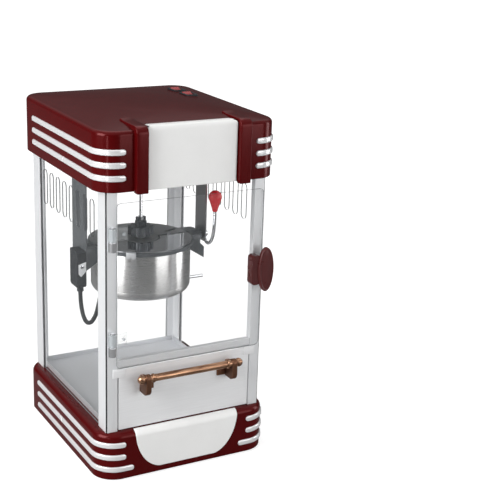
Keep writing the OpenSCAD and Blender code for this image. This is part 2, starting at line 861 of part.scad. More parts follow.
module door_knob() {
    face_y = door_front_y - knob_reach;
    color(burgundy) difference() {
        union() {
            translate([knob_x, face_y + knob_t, knob_z]) rotate([90, 0, 0])
                linear_extrude(knob_t) oval(knob_w, knob_h);
            translate([neck_x, door_front_y, knob_z]) rotate([90, 0, 0])
                linear_extrude(knob_reach - knob_t / 2) rounded_rect(neck_w, neck_h, neck_w / 3);
        }
        y_rod(door_front_y - knob_screw_grip - cut, door_front_y + cut, neck_x, knob_z, port_r);
    }
}

module door_knob_screw() {
    color(chrome) translate([neck_x, door_back_y, knob_z]) rotate([-90, 0, 0])
        screw(door_t + knob_screw_grip);
}

module door_magnet() {
    color(dark_grey) y_rod(-post_y, -post_y + magnet_t, magnet_x, knob_z, magnet_r);
}

module door_strike() {
    color(chrome) y_rod(door_back_y - magnet_t / 2, door_back_y, magnet_x, knob_z, magnet_r);
}

// Canopy

canopy_dome_steps = 8;
rib_drop = 2;

// Thin slice of the canopy's outline, drawn in by an inset
module canopy_slice(z, inset) {
    w = body_w - 2 * inset;
    d = body_d - 2 * inset;
    blend = max(0, inset - canopy_edge_r) * 0.6;
    translate([0, 0, z]) linear_extrude(0.01)
        rounded_rect(w, d, min(w / 2 - 0.5, canopy_corner_r - min(inset, canopy_edge_r) + blend));
}

// Canopy's outer shape, lowered at the bottom by an extension
module canopy_solid(shrink, extension) {
    edge_z = canopy_z + canopy_side_h - shrink;
    hull() {
        canopy_slice(canopy_z - extension, shrink);
        for (a = [0 : 15 : 90])
            canopy_slice(edge_z + canopy_edge_r * sin(a), shrink + canopy_edge_r * (1 - cos(a)));
        for (i = [1 : canopy_dome_steps])
            let (s = i / canopy_dome_steps)
            canopy_slice(edge_z + canopy_edge_r + dome_rise * (1 - pow(1 - s, 2)),
                shrink + canopy_edge_r + dome_run * s);
    }
}

module canopy_shell() {
    boss_bottom = ceiling_top_z;
    color(burgundy) difference() {
        canopy_solid(0, 0);
        difference() {
            canopy_solid(wall, 0);
            for (sx = [-1, 1], sy = [-1, 1])
                translate([sx * canopy_boss_x, sy * canopy_boss_y, boss_bottom])
                    cylinder(r = screw_boss_r, h = canopy_side_h + dome_rise, $fn = fine);
        }
        for (sx = [-1, 1], sy = [-1, 1])
            translate([sx * canopy_boss_x, sy * canopy_boss_y, boss_bottom - cut])
                cylinder(r = port_r, h = boss_screw_l + 2 * cut, $fn = fine);
        for (y = switch_ys) translate([switch_x, y, 0]) {
            translate([-bezel_w / 2 - 0.1, -bezel_d / 2 - 0.1, bezel_z])
                cube([bezel_w + 0.2, bezel_d + 0.2, dome_rise + 2 * wall]);
            translate([-bezel_w / 2 + bezel_rim - 0.9, -bezel_d / 2 + bezel_rim - 0.9,
                bezel_z - bezel_body_h])
                cube([bezel_w - 2 * bezel_rim + 1.8, bezel_d - 2 * bezel_rim + 1.8,
                    bezel_body_h + cut]);
        }
        y_rod(body_d / 2 - 2 * wall, body_d / 2 + cut, gland_x, gland_z, gland_r + 0.1);
        for (i = [0 : vent_count - 1])
            translate([(i - (vent_count - 1) / 2) * vent_pitch - vent_w / 2,
                body_d / 2 - 2 * wall, vent_z]) cube([vent_w, 3 * wall, vent_h]);
    }
}

// Side view of a rib: down the front and back over the top
module rib_profile() {
    front_y = -(body_d / 2 + rib_proud);
    nose_r = 10;
    top_z = canopy_z - rib_drop + rib_h;
    translate([front_y, canopy_z - rib_drop]) square([2 * nose_r, rib_h - nose_r]);
    translate([front_y + nose_r, top_z - nose_r]) circle(nose_r, $fn = smooth);
    translate([front_y + nose_r, top_z - 2 * nose_r]) square([rib_run - nose_r, 2 * nose_r]);
}

module canopy_ribs() {
    color(burgundy) for (sx = [-1, 1]) difference() {
        translate([sx * rib_x - rib_w / 2, 0, 0]) rotate([90, 0, 90])
            linear_extrude(rib_w) rib_profile();
        canopy_solid(0, rib_drop + cut);
    }
}

module canopy_front_panel() {
    half_w = rib_x - rib_w / 2 - 1;
    corner = 10;
    color(pale) translate([0, -body_d / 2, canopy_z]) rotate([90, 0, 0])
        linear_extrude(panel_t) {
            translate([-half_w, 0]) square([2 * half_w, panel_h - corner]);
            translate([-half_w + corner, 0]) square([2 * (half_w - corner), panel_h]);
            for (sx = [-1, 1]) translate([sx * (half_w - corner), panel_h - corner])
                circle(corner, $fn = smooth);
        }
}

module canopy_stripes() {
    color(silver) for (side = [0, 1]) mirror([side, 0, 0]) for (i = [0, 1, 2])
        corner_stripe(body_w, body_d, canopy_corner_r,
            canopy_z + canopy_stripe_z + i * canopy_stripe_pitch, stripe_front_x);
}

module ceiling_plate() {
    gap = 2 * (wall + seat_gap);
    color(silver) difference() {
        translate([0, 0, ceiling_z]) linear_extrude(ceiling_t)
            rounded_rect(body_w - gap, body_d - gap, canopy_corner_r - gap / 2);
        translate([0, 0, ceiling_z - cut]) {
            for (sx = [-1, 1], sy = [-1, 1]) {
                translate([sx * port_x, sy * port_y, 0])
                    cylinder(r = port_r, h = ceiling_t + 2 * cut, $fn = fine);
                translate([sx * canopy_boss_x, sy * canopy_boss_y, 0])
                    cylinder(r = port_r, h = ceiling_t + 2 * cut, $fn = fine);
            }
            for (sx = [-1, 1], y = hanger_screw_ys)
                translate([sx * hanger_screw_x, y, 0])
                    cylinder(r = port_r, h = ceiling_t + 2 * cut, $fn = fine);
            translate([0, kettle_y, 0])
                cylinder(r = output_r + 0.5, h = ceiling_t + 2 * cut, $fn = smooth);
            translate([lamp_x, lamp_y, 0])
                cylinder(r = socket_r + 0.3, h = ceiling_t + 2 * cut, $fn = smooth);
            translate([lead_x, lead_route[len(lead_route) - 1][1], 0])
                cylinder(r = lead_r + 0.5, h = ceiling_t + 2 * cut, $fn = fine);
        }
    }
}

// Switches

module switch_bezels() {
    inner_w = bezel_w - 2 * bezel_rim;
    inner_d = bezel_d - 2 * bezel_rim;
    body_t = 0.8;
    color(black) for (y = switch_ys) translate([switch_x, y, 0]) difference() {
        union() {
            translate([-bezel_w / 2, -bezel_d / 2, bezel_z]) cube([bezel_w, bezel_d, bezel_h]);
            translate([-inner_w / 2 - body_t, -inner_d / 2 - body_t, bezel_z - bezel_body_h])
                cube([inner_w + 2 * body_t, inner_d + 2 * body_t, bezel_body_h + cut]);
        }
        translate([-inner_w / 2, -inner_d / 2, bezel_z - bezel_body_h + 2])
            cube([inner_w, inner_d, bezel_body_h + bezel_h]);
        x_rod(-inner_w / 2 - body_t / 2, inner_w / 2 + body_t / 2, 0, rocker_pin_z,
            rocker_pin_r + running);
    }
}

module rocker(y) {
    half_w = bezel_w / 2 - bezel_rim - rocker_gap / 2;
    half_d = bezel_d / 2 - bezel_rim - 2 * rocker_gap;
    color([0.75, 0.02, 0.03]) translate([switch_x, y, rocker_pin_z]) rotate([rocker_tilt, 0, 0])
        difference() {
            union() {
                translate([-half_w, -half_d, -rocker_down])
                    cube([2 * half_w, 2 * half_d, rocker_up + rocker_down]);
                x_rod(-half_w - 0.5, half_w + 0.5, 0, 0, rocker_pin_r);
            }
            translate([-half_w - cut, 0, rocker_up + 44.6]) rotate([0, 90, 0])
                cylinder(r = 46, h = 2 * half_w + 2 * cut, $fn = 2 * smooth);
        }
}

module rocker_heat() { rocker(switch_ys[0]); }

module rocker_light() { rocker(switch_ys[1]); }

// Drive, lamp and cord gland in the canopy

module gear_motor() {
    gap_z = ceiling_top_z;
    color(dark_grey) difference() {
        union() {
            translate([-gearbox_w / 2, kettle_y - gearbox_d / 2, gap_z])
                cube([gearbox_w, gearbox_d, gearbox_h]);
            translate([0, kettle_y, gap_z + gearbox_h]) cylinder(r = motor_r, h = motor_h,
                $fn = smooth);
            translate([0, kettle_y, ceiling_z - output_drop])
                cylinder(r = output_r, h = output_drop + ceiling_t + cut, $fn = smooth);
        }
        translate([0, kettle_y, ceiling_z - output_drop - cut])
            cylinder(r = drive_r + running, h = gearbox_h, $fn = smooth);
    }
}

module drive_shaft() {
    tip_h = 4.5;
    color(chrome) {
        translate([0, kettle_y, drive_tip_z])
            cylinder(r = drive_r, h = ceiling_z + gearbox_h / 2 - drive_tip_z, $fn = smooth);
        translate([-drive_r + 0.2, kettle_y - 2 * drive_r, drive_tip_z])
            cube([2 * drive_r - 0.4, 4 * drive_r, tip_h]);
    }
}

module lamp_socket() {
    below = 14;
    color(black) translate([lamp_x, lamp_y, ceiling_z - below]) difference() {
        union() {
            cylinder(r = socket_r, h = socket_h, $fn = smooth);
            translate([0, 0, below - 2]) cylinder(r = socket_r + 3, h = 2, $fn = smooth);
        }
        translate([0, 0, -cut]) cylinder(r = socket_r - 3, h = 12 + cut, $fn = smooth);
    }
}

module lamp_bulb() {
    base_r = socket_r - 3.3;
    color([1, 0.95, 0.8]) translate([lamp_x, lamp_y, ceiling_z - 14]) {
        translate([0, 0, bulb_r - bulb_h]) sphere(bulb_r, $fn = smooth);
        translate([0, 0, bulb_r - bulb_h]) cylinder(r = base_r, h = bulb_h - bulb_r + 11,
            $fn = smooth);
    }
}

module cord_gland() {
    rear_y = body_d / 2;
    flange_t = 3;
    nut_t = 5;
    color(black) difference() {
        union() {
            y_rod(rear_y - wall - nut_t, rear_y + cut, gland_x, gland_z, gland_r);
            y_rod(rear_y, rear_y + flange_t, gland_x, gland_z, gland_flange_r);
            translate([gland_x, gland_end_y, gland_z]) rotate([90, 0, 0])
                cylinder(r1 = gland_r - 1, r2 = gland_r, h = gland_end_y - rear_y, $fn = smooth);
            y_rod(rear_y - wall - nut_t, rear_y - wall - seat_gap, gland_x, gland_z,
                gland_flange_r - 1);
        }
        y_rod(rear_y - 2 * wall - nut_t, gland_end_y + cut, gland_x, gland_z, gland_bore_r);
    }
}

// Kettle's hangers

hanger_screw_x = strap_x - strap_flange / 2;
hanger_screw_ys = [4, 20];

// Strap with a flange that turns in under the ceiling plate
module hanger(front_y, rear_y, drop) {
    bottom_z = tilt_z - drop;
    corner = 5;
    difference() {
        union() {
            translate([strap_x, 0, 0]) rotate([90, 0, 90]) linear_extrude(strap_t) {
                translate([front_y, bottom_z + corner])
                    square([rear_y - front_y, ceiling_z - bottom_z - corner]);
                translate([front_y + corner, bottom_z])
                    square([rear_y - front_y - 2 * corner, corner + cut]);
                for (y = [front_y + corner, rear_y - corner])
                    translate([y, bottom_z + corner]) circle(corner, $fn = fine);
            }
            translate([strap_x - strap_flange, front_y, ceiling_z - strap_t])
                cube([strap_flange + strap_t, rear_y - front_y, strap_t]);
        }
        x_rod(strap_x - cut, strap_x + strap_t + cut, tilt_y, tilt_z, pivot_bore_r);
        for (y = hanger_screw_ys)
            translate([hanger_screw_x, y, ceiling_z - strap_t - cut])
                cylinder(r = port_r, h = strap_t + 2 * cut, $fn = fine);
    }
}

module hanger_left() {
    color(dark_grey) mirror([1, 0, 0])
        hanger(left_strap_front_y, left_strap_rear_y, left_strap_drop);
}

module hanger_right() {
    color(dark_grey) hanger(right_strap_front_y, right_strap_rear_y, strap_hole_edge);
}

module hanger_screws() {
    nut_h = 2.4;
    color(chrome) for (sx = [-1, 1], y = hanger_screw_ys)
        translate([sx * hanger_screw_x, y, 0]) {
            translate([0, 0, ceiling_z - strap_t]) mirror([0, 0, 1])
                screw(strap_t + ceiling_t + nut_h + 1);
            translate([0, 0, ceiling_top_z]) cylinder(r = screw_head_r, h = nut_h, $fn = 6);
        }
}

// Kettle

// Upright section of a cup: outer radius, height and radius of the bottom edge
module cup_section(r, h, edge) {
    square([r - edge, h]);
    translate([0, edge]) square([r, h - edge]);
    translate([r - edge, edge]) circle(edge, $fn = smooth);
}

module kettle_pot() {
    color(chrome) translate([0, kettle_y, pot_z]) rotate_extrude($fn = smooth)
        difference() {
            intersection() {
                cup_section(pot_r, pot_h, pot_bottom_r);
                square([pot_r, pot_h]);
            }
            translate([-cut, pot_t]) cup_section(pot_r - pot_t + cut, pot_h + cut,
                pot_bottom_r - pot_t);
            translate([-2 * cut, 0]) square([2 * cut, pot_h]);
        }
}

module cooking_pan() {
    pan_t = 1.2;
    pan_h = pot_top_z + pan_flange_t - pan_floor_z;
    color([0.6, 0.6, 0.62]) translate([0, kettle_y, pan_floor_z]) rotate_extrude($fn = smooth)
        difference() {
            union() {
                square([pan_r, pan_h]);
                translate([0, pan_h - pan_flange_t]) square([pan_flange_r, pan_flange_t]);
            }
            translate([-cut, pan_t]) square([pan_r - pan_t + cut, pan_h]);
        }
}

heater_tube_r = 3.5;
heater_r = pan_r - 20;

module heater_ring() {
    color([0.45, 0.42, 0.40])
        translate([0, kettle_y, pan_floor_z - heater_tube_r - 0.2])
            rotate_extrude($fn = smooth) translate([heater_r, 0]) circle(heater_tube_r, $fn = fine);
}

thermostat_x = 18;
thermostat_r = 9;
thermostat_h = 8;

module thermostat() {
    color(black) translate([thermostat_x, kettle_y, pan_floor_z - thermostat_h - 0.2])
        cylinder(r = thermostat_r, h = thermostat_h, $fn = smooth);
}

ear_front_reach = 15;
ear_rear_reach = 25;

// Rim casting with its ears, pivot bosses and gussets
module kettle_rim() {
    ear_front_y = kettle_y - ear_front_reach;
    ear_rear_y = kettle_y + ear_rear_reach;
    ear_corner = 7;
    ear_root_x = rim_inner_r - 6;
    boss_root_x = lid_r + 1;
    gusset_root_x = pot_r - 1;
    gusset_knee_x = ear_x - 6;
    gusset_t = 2;
    color(dark_grey) difference() {
        union() {
            translate([0, kettle_y, rim_z]) cylinder(r = rim_r, h = rim_h, $fn = 2 * smooth);
            for (side = [0, 1]) mirror([side, 0, 0]) {
                translate([0, 0, rim_z]) linear_extrude(rim_h) {
                    translate([ear_root_x, ear_front_y])
                        square([ear_x - ear_root_x - ear_corner, ear_rear_y - ear_front_y]);
                    translate([ear_root_x, ear_front_y + ear_corner])
                        square([ear_x - ear_root_x, ear_rear_y - ear_front_y - 2 * ear_corner]);
                    for (y = [ear_front_y + ear_corner, ear_rear_y - ear_corner])
                        translate([ear_x - ear_corner, y]) circle(ear_corner, $fn = fine);
                }
                x_rod(boss_root_x, ear_x, tilt_y, tilt_z, boss_r);
                translate([0, ear_front_y + gusset_t, 0]) rotate([90, 0, 0])
                    linear_extrude(gusset_t)
                    polygon([[gusset_root_x, rim_z + 1], [gusset_root_x, tilt_z - 16],
                        [ear_x, tilt_z - 31], [ear_x, tilt_z - 15], [gusset_knee_x, tilt_z - 9],
                        [gusset_knee_x, rim_z + 1]]);
            }
        }
        translate([0, kettle_y, rim_z - cut])
            cylinder(r = rim_inner_r, h = rim_h + boss_r + 2 * cut, $fn = 2 * smooth);
        translate([0, kettle_y, rim_z - boss_r - 5 * wall])
            cylinder(r = pan_flange_r + 0.3, h = boss_r + 5 * wall, $fn = 2 * smooth);
        for (sx = [-1, 1])
            x_rod(sx * (pot_r + ear_x) / 2 - ear_x / 2, sx * (pot_r + ear_x) / 2 + ear_x / 2,
                tilt_y, tilt_z, pivot_bore_r);
    }
}

knuckle_x = 44;
knuckle_l = 12;
knuckle_gap = 0.2;
lid_pin_r = 1;
lid_knuckle_r = 1.9;

module rear_cover() {
    hub_r = 6;
    hub_drop = 4;
    color(dark_grey) difference() {
        union() {
            intersection() {
                translate([0, kettle_y, lid_z]) cylinder(r = lid_r, h = lid_t, $fn = 2 * smooth);
                translate([-lid_r, lid_hinge_y + 2.3, lid_z]) cube([2 * lid_r, 2 * lid_r, lid_t]);
            }
            translate([0, kettle_y, lid_z]) cylinder(r = tongue_r, h = lid_t, $fn = smooth);
            translate([0, kettle_y, lid_z - hub_drop])
                cylinder(r = hub_r, h = hub_drop + lid_t + 1, $fn = smooth);
            for (sx = [-1, 1])
                hinge_loop(sx * knuckle_x + knuckle_gap, knuckle_l / 2, 1);
        }
        translate([0, kettle_y, lid_z - hub_drop - cut])
            cylinder(r = stir_r + running, h = hub_drop + lid_t + 3 * cut, $fn = smooth);
        translate([rear_slot_x, kettle_y + rear_slot_back, lid_z - cut])
            rotate([0, 0, rear_slot_turn]) linear_extrude(lid_t + 2 * cut)
                rounded_rect(rear_slot_l, rear_slot_w, rear_slot_w / 2 - 0.1);
        for (sx = [-1, 1])
            x_rod(sx * knuckle_x - knuckle_l, sx * knuckle_x + knuckle_l, lid_hinge_y,
                lid_hinge_z, lid_pin_r + running);
    }
}

// Loop round the lid's hinge pin with a web to the cover (dir 1) or to the lid (dir -1)
module hinge_loop(x0, length, dir) {
    reach = 3.2;
    x_rod(x0, x0 + length, lid_hinge_y, lid_hinge_z, lid_knuckle_r);
    translate([x0, dir > 0 ? lid_hinge_y : lid_hinge_y - reach, lid_hinge_z - lid_t / 2])
        cube([length, reach, lid_t]);
}

module front_lid() {
    color(chrome) difference() {
        union() {
            difference() {
                intersection() {
                    translate([0, kettle_y, lid_z]) cylinder(r = lid_r, h = lid_t, $fn = 2 * smooth);
                    translate([-lid_r, lid_hinge_y - 2.3 - 2 * lid_r, lid_z])
                        cube([2 * lid_r, 2 * lid_r, lid_t]);
                }
                translate([0, kettle_y, lid_z - cut])
                    cylinder(r = lid_cut_r, h = lid_t + 2 * cut, $fn = smooth);
            }
            for (sx = [-1, 1])
                hinge_loop(sx * knuckle_x - knuckle_l / 2 - knuckle_gap, knuckle_l / 2, -1);
            lid_tab();
        }
        for (sx = [-1, 1])
            x_rod(sx * knuckle_x - knuckle_l, sx * knuckle_x + knuckle_l, lid_hinge_y,
                lid_hinge_z, lid_pin_r + running);
    }
}

// Finger tab that laps over the rim
module lid_tab() {
    tab_w = 13;
    tab_drop = 7;
    tab_t = 1.4;
    translate([0, kettle_y, 0]) rotate([0, 0, -124]) {
        translate([lid_r - 6, -tab_w / 2, lid_z + lid_t / 2])
            cube([rim_r + seat_gap + tab_t - lid_r + 6, tab_w, tab_t + lid_t / 2]);
        translate([rim_r + seat_gap, -tab_w / 2, lid_z + lid_t - tab_drop])
            cube([tab_t, tab_w, tab_drop + cut]);
    }
}

module lid_hinge_pins() {
    color(chrome) for (sx = [-1, 1])
        x_rod(sx * knuckle_x - knuckle_l / 2, sx * knuckle_x + knuckle_l / 2, lid_hinge_y,
            lid_hinge_z, lid_pin_r);
}

// Stirrer

module lobed_disc(r, lobe, count, h) {
    linear_extrude(h) {
        circle(r - lobe, $fn = smooth);
        for (i = [0 : count - 1]) rotate([0, 0, (i + 0.5) * 360 / count])
            translate([r - lobe, 0]) circle(lobe, $fn = fine);
    }
}

module stir_gear() {
    slot_half = drive_r + 1.3;
    crown_r = 8;
    prong_r = 7;
    color(dark_grey) translate([0, kettle_y, 0]) difference() {
        union() {
            translate([0, 0, stem_z]) cylinder(r = stem_r, h = disc_z - stem_z + cut, $fn = smooth);
            translate([0, 0, disc_z]) lobed_disc(gear_r, lobe_r, lobe_count, disc_top_z - disc_z);
            translate([0, 0, disc_top_z]) lobed_disc(crown_r, 2.2, 6, crown_z - disc_top_z);
            intersection() {
                translate([0, 0, crown_z - cut])
                    cylinder(r = prong_r, h = prong_z - crown_z + cut, $fn = smooth);
                for (sx = [-1, 1])
                    translate([sx * (slot_half + crown_r / 2) - crown_r / 2, -crown_r / 2,
                        crown_z - cut]) cube([crown_r, crown_r, prong_z - crown_z + 2 * cut]);
            }
        }
        translate([0, 0, stem_z - cut])
            cylinder(r = stir_r + running, h = disc_z - stem_z + 6 + cut, $fn = smooth);
    }
}

module stirrer() {
    tip_z = pan_floor_z + 1.2 + 0.5;
    color(chrome) translate([0, kettle_y, 0]) {
        translate([0, 0, tip_z])
            cylinder(r = stir_r, h = disc_z + 5 - tip_z, $fn = smooth);
        translate([-blade_t / 2, -blade_r, tip_z]) cube([blade_t, blade_r, blade_h]);
        translate([-blade_t / 2, 0, tip_z]) cube([blade_t, blade_r * 0.7, blade_h * 1.6]);
    }
}

// Tilt handle and pivot pins

module tilt_handle() {
    color(chrome) translate([handle_x, tilt_y, tilt_z]) difference() {
        union() {
            swept_tube(rod_route, rod_r, rod_sides);
            x_rod(-handle_hub_l / 2, handle_hub_l / 2, 0, 0, handle_hub_r);
        }
        x_rod(-handle_hub_l, handle_hub_l, 0, 0, pivot_bore_r);
    }
}

// Drop-shaped knob, wide at the top and pointed at the bottom
module tilt_knob() {
    tip = rod_route[len(rod_route) - 1];
    body_r = tilt_knob_r;
    ball_z = tilt_knob_h - body_r;
    neck_r = rod_r + 1.4;
    tangent = acos((body_r - neck_r) / ball_z);
    color([0.80, 0.02, 0.04]) translate([handle_x, tilt_y + tip[1], tilt_z + tip[2]])
        rotate_extrude($fn = smooth) intersection() {
            square([2 * body_r, tilt_knob_h]);
            union() {
                translate([0, ball_z]) circle(body_r, $fn = smooth);
                polygon([[0, 0], [neck_r, 0],
                    [body_r * sin(tangent), ball_z - body_r * cos(tangent)], [0, ball_z]]);
            }
        }
}

module kettle_pins() {
    head_t = 1.5;
    inner_x = rim_inner_r + 10;
    right_end = handle_x + handle_hub_l / 2;
    left_end = strap_x + strap_t + seat_gap;
    peg_z = tilt_z - peg_drop;
    peg_y = kettle_y - peg_forward;
    peg_x = sqrt(pot_r * pot_r - peg_forward * peg_forward) + seat_gap;
    color(chrome) {
        x_rod(inner_x, right_end, tilt_y, tilt_z, pivot_r);
        x_rod(right_end, right_end + head_t, tilt_y, tilt_z, pivot_r + 1);
        x_rod(-left_end, -inner_x, tilt_y, tilt_z, pivot_r);
        x_rod(-left_end - head_t, -left_end, tilt_y, tilt_z, pivot_r + 1);
        x_rod(peg_x, strap_x - 1, peg_y, peg_z, rod_r);
    }
}

// Connector and lead

module kettle_connector() {
    outer_x = -(strap_x + strap_t);
    color(black) translate([outer_x - connector_w, 0, 0]) rotate([90, 0, 90])
        linear_extrude(connector_w) {
            translate([connector_y, connector_z + connector_r])
                square([connector_d, connector_h - connector_r]);
            translate([connector_y + connector_r, connector_z])
                square([connector_d - 2 * connector_r, 2 * connector_r]);
            for (y = [connector_y + connector_r, connector_y + connector_d - connector_r])
                translate([y, connector_z + connector_r]) circle(connector_r, $fn = fine);
        }
}

function unit(v) = v / norm(v);

// Direction of the route at a point
function heading(p, i) = unit(p[min(i + 1, len(p) - 1)] - p[max(i - 1, 0)]);

// Ring of points round the route at a point
function ring(p, i, r, n) =
    let (t = heading(p, i), side = [1, 0, 0], up = cross(t, side))
    [for (k = [0 : n - 1]) p[i] + r * (cos(360 * k / n) * side + sin(360 * k / n) * up)];

module swept_tube(p, r, n) {
    rings = len(p);
    points = [for (i = [0 : rings - 1]) each ring(p, i, r, n)];
    sides = [for (i = [0 : rings - 2], k = [0 : n - 1])
        [i * n + k, (i + 1) * n + k, (i + 1) * n + (k + 1) % n, i * n + (k + 1) % n]];
    start = [for (k = [0 : n - 1]) k];
    finish = [for (k = [n - 1 : -1 : 0]) (rings - 1) * n + k];
    polyhedron(points, concat(sides, [start, finish]));
}

module kettle_lead() {
    color(black) swept_tube(lead_route, lead_r, lead_sides);
}

rubber_feet();
base_bottom_plate();
base_shell();
base_front_plate();
base_stripes();
plate_screws();
cabin_floor();
post_front_left();
post_front_right();
post_rear_left();
post_rear_right();
post_screws();
window_left();
window_right();
window_rear();
front_rail();
flap_panel();
flap_hinge_pins();
handle_bar();
handle_brackets();
handle_screws();
door_panel();
door_knuckles();
door_hinge_barrels();
door_hinge_pins();
door_knob();
door_knob_screw();
door_magnet();
door_strike();
ceiling_plate();
canopy_shell();
canopy_ribs();
canopy_front_panel();
canopy_stripes();
switch_bezels();
rocker_heat();
rocker_light();
gear_motor();
drive_shaft();
lamp_socket();
lamp_bulb();
cord_gland();
hanger_left();
hanger_right();
hanger_screws();
kettle_pot();
cooking_pan();
heater_ring();
thermostat();
kettle_rim();
rear_cover();
front_lid();
lid_hinge_pins();
stir_gear();
stirrer();
tilt_handle();
tilt_knob();
kettle_pins();
kettle_connector();
kettle_lead();
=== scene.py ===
"""Looks of a table-top popcorn maker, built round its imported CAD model."""

import json
from math import acos, cos, degrees, pi, radians, sin, sqrt

import bmesh
import bpy
from mathutils import Matrix, Vector


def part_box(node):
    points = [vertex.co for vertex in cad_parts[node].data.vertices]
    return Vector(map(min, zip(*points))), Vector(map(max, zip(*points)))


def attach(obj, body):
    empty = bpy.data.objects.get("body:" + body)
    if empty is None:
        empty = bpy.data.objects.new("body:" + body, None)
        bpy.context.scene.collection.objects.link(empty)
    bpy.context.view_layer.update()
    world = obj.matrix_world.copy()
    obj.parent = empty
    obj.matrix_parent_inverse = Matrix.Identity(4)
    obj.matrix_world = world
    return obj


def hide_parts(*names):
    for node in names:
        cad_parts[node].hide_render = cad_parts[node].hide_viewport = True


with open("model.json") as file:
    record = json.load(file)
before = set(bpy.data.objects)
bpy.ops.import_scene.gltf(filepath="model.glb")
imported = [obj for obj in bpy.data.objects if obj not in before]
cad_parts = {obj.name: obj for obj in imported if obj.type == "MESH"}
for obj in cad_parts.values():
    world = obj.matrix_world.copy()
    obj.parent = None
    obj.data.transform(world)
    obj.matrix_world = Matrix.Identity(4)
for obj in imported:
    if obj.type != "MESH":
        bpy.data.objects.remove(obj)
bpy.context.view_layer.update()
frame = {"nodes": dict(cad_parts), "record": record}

MM = 0.001
X, Y, Z = Vector((1, 0, 0)), Vector((0, 1, 0)), Vector((0, 0, 1))


def span(node):
    """Lowest and highest corner of a CAD node, in millimetres."""
    low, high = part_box(node)
    return low / MM, high / MM


def new_object(name, data):
    thing = bpy.data.objects.new(name, data)
    bpy.context.scene.collection.objects.link(thing)
    return thing


# Camera

CAMERA_PLACE = Vector((-0.6363, -1.3975, 0.7469))
CAMERA_YAW, CAMERA_PITCH, CAMERA_ROLL = 29.867, 17.466, 2.051
FOCAL_PIXELS = 1172.9
IMAGE_PIXELS = 500
SENSOR = 36


def make_camera():
    yaw, pitch, roll = (radians(a) for a in (CAMERA_YAW, CAMERA_PITCH, CAMERA_ROLL))
    flat_way = Vector((sin(yaw), cos(yaw), 0))
    forward = flat_way * cos(pitch) - Z * sin(pitch)
    level = Vector((cos(yaw), -sin(yaw), 0))
    up = level.cross(forward)
    side = cos(roll) * level + sin(roll) * up
    top = cos(roll) * up - sin(roll) * level
    data = bpy.data.cameras.new("camera")
    data.sensor_width = SENSOR
    data.lens = FOCAL_PIXELS / IMAGE_PIXELS * SENSOR
    data.clip_end = 50
    camera = new_object("camera", data)
    turn = Matrix((side, top, -forward)).transposed().to_4x4()
    camera.matrix_world = Matrix.Translation(CAMERA_PLACE) @ turn
    bpy.context.scene.camera = camera


make_camera()


# Materials


def new_material(name, colour, metallic=0.0, roughness=0.5, **sockets):
    material = bpy.data.materials.new(name)
    material.use_nodes = True
    shader = material.node_tree.nodes["Principled BSDF"]
    shader.inputs["Base Color"].default_value = (*colour, 1)
    shader.inputs["Metallic"].default_value = metallic
    shader.inputs["Roughness"].default_value = roughness
    for socket, value in sockets.items():
        shader.inputs[socket.replace("_", " ")].default_value = value
    return material


def add(material, kind, **inputs):
    """A new node in the material, with its inputs set or linked."""
    node = material.node_tree.nodes.new(kind)
    for name, value in inputs.items():
        socket = node.inputs[name]
        if isinstance(value, bpy.types.NodeSocket):
            material.node_tree.links.new(value, socket)
        else:
            socket.default_value = value
    return node


def wire(material, output, socket):
    shader = material.node_tree.nodes["Principled BSDF"]
    material.node_tree.links.new(output, shader.inputs[socket])


def noise(material, scale, stretch=(1, 1, 1), detail=4.0):
    """Noise in object space, in features per metre, stretched along the axes."""
    place = add(material, "ShaderNodeTexCoord")
    mapping = add(material, "ShaderNodeMapping", Vector=place.outputs["Object"], Scale=stretch)
    return add(
        material,
        "ShaderNodeTexNoise",
        Vector=mapping.outputs["Vector"],
        Scale=scale,
        Detail=detail,
        Roughness=0.6,
    ).outputs["Fac"]


def vary_roughness(material, value, low, high):
    """Roughness between low and high, after a noise value."""
    ends = {"From Min": 0.3, "From Max": 0.7, "To Min": low, "To Max": high}
    wire(material, add(material, "ShaderNodeMapRange", Value=value, **ends).outputs["Result"], "Roughness")


def vary_colour(material, value, dark, light, low=0.35, high=0.65):
    ramp = add(material, "ShaderNodeValToRGB", Fac=value)
    ramp.color_ramp.elements[0].color = (*dark, 1)
    ramp.color_ramp.elements[0].position = low
    ramp.color_ramp.elements[1].color = (*light, 1)
    ramp.color_ramp.elements[1].position = high
    wire(material, ramp.outputs["Color"], "Base Color")


def add_bump(material, value, height, strength=1.0):
    bump = add(material, "ShaderNodeBump", Height=value, Distance=height, Strength=strength)
    wire(material, bump.outputs["Normal"], "Normal")


def moulded_plastic(name, colour, roughness, peel=0.00002, mottle=0.08, **sockets):
    """Moulded plastic with a faint orange peel and uneven gloss."""
    material = new_material(name, colour, roughness=roughness, **sockets)
    vary_roughness(material, noise(material, 60), roughness * 0.85, roughness * 1.15)
    add_bump(material, noise(material, 900, detail=2), peel)
    lighter = tuple(min(1, c * (1 + mottle)) for c in colour)
    darker = tuple(c * (1 - mottle) for c in colour)
    vary_colour(material, noise(material, 14), darker, lighter)
    return material


def brushed_metal(name, colour, roughness, stretch, grain=1600, depth=0.000004, **sockets):
    """Metal with fine lines along the axis where stretch is smallest."""
    material = new_material(name, colour, 1.0, roughness, **sockets)
    lines = noise(material, grain, stretch, detail=3)
    vary_roughness(material, lines, roughness * 0.8, roughness * 1.2)
    add_bump(material, lines, depth)
    vary_colour(material, lines, tuple(c * 0.95 for c in colour), colour)
    return material


def turned_metal(name, colour, roughness):
    """Metal turned or spun round its upright axis, which draws highlights out along the axis."""
    lines = {"grain": 90, "depth": 0.0000006, "Anisotropic": 0.9, "Anisotropic_Rotation": 0.25}
    material = brushed_metal(name, colour, roughness, (1, 1, 30), **lines)
    tangent = add(material, "ShaderNodeTangent")
    tangent.direction_type = "RADIAL"
    tangent.axis = "Z"
    wire(material, tangent.outputs["Tangent"], "Tangent")
    return material


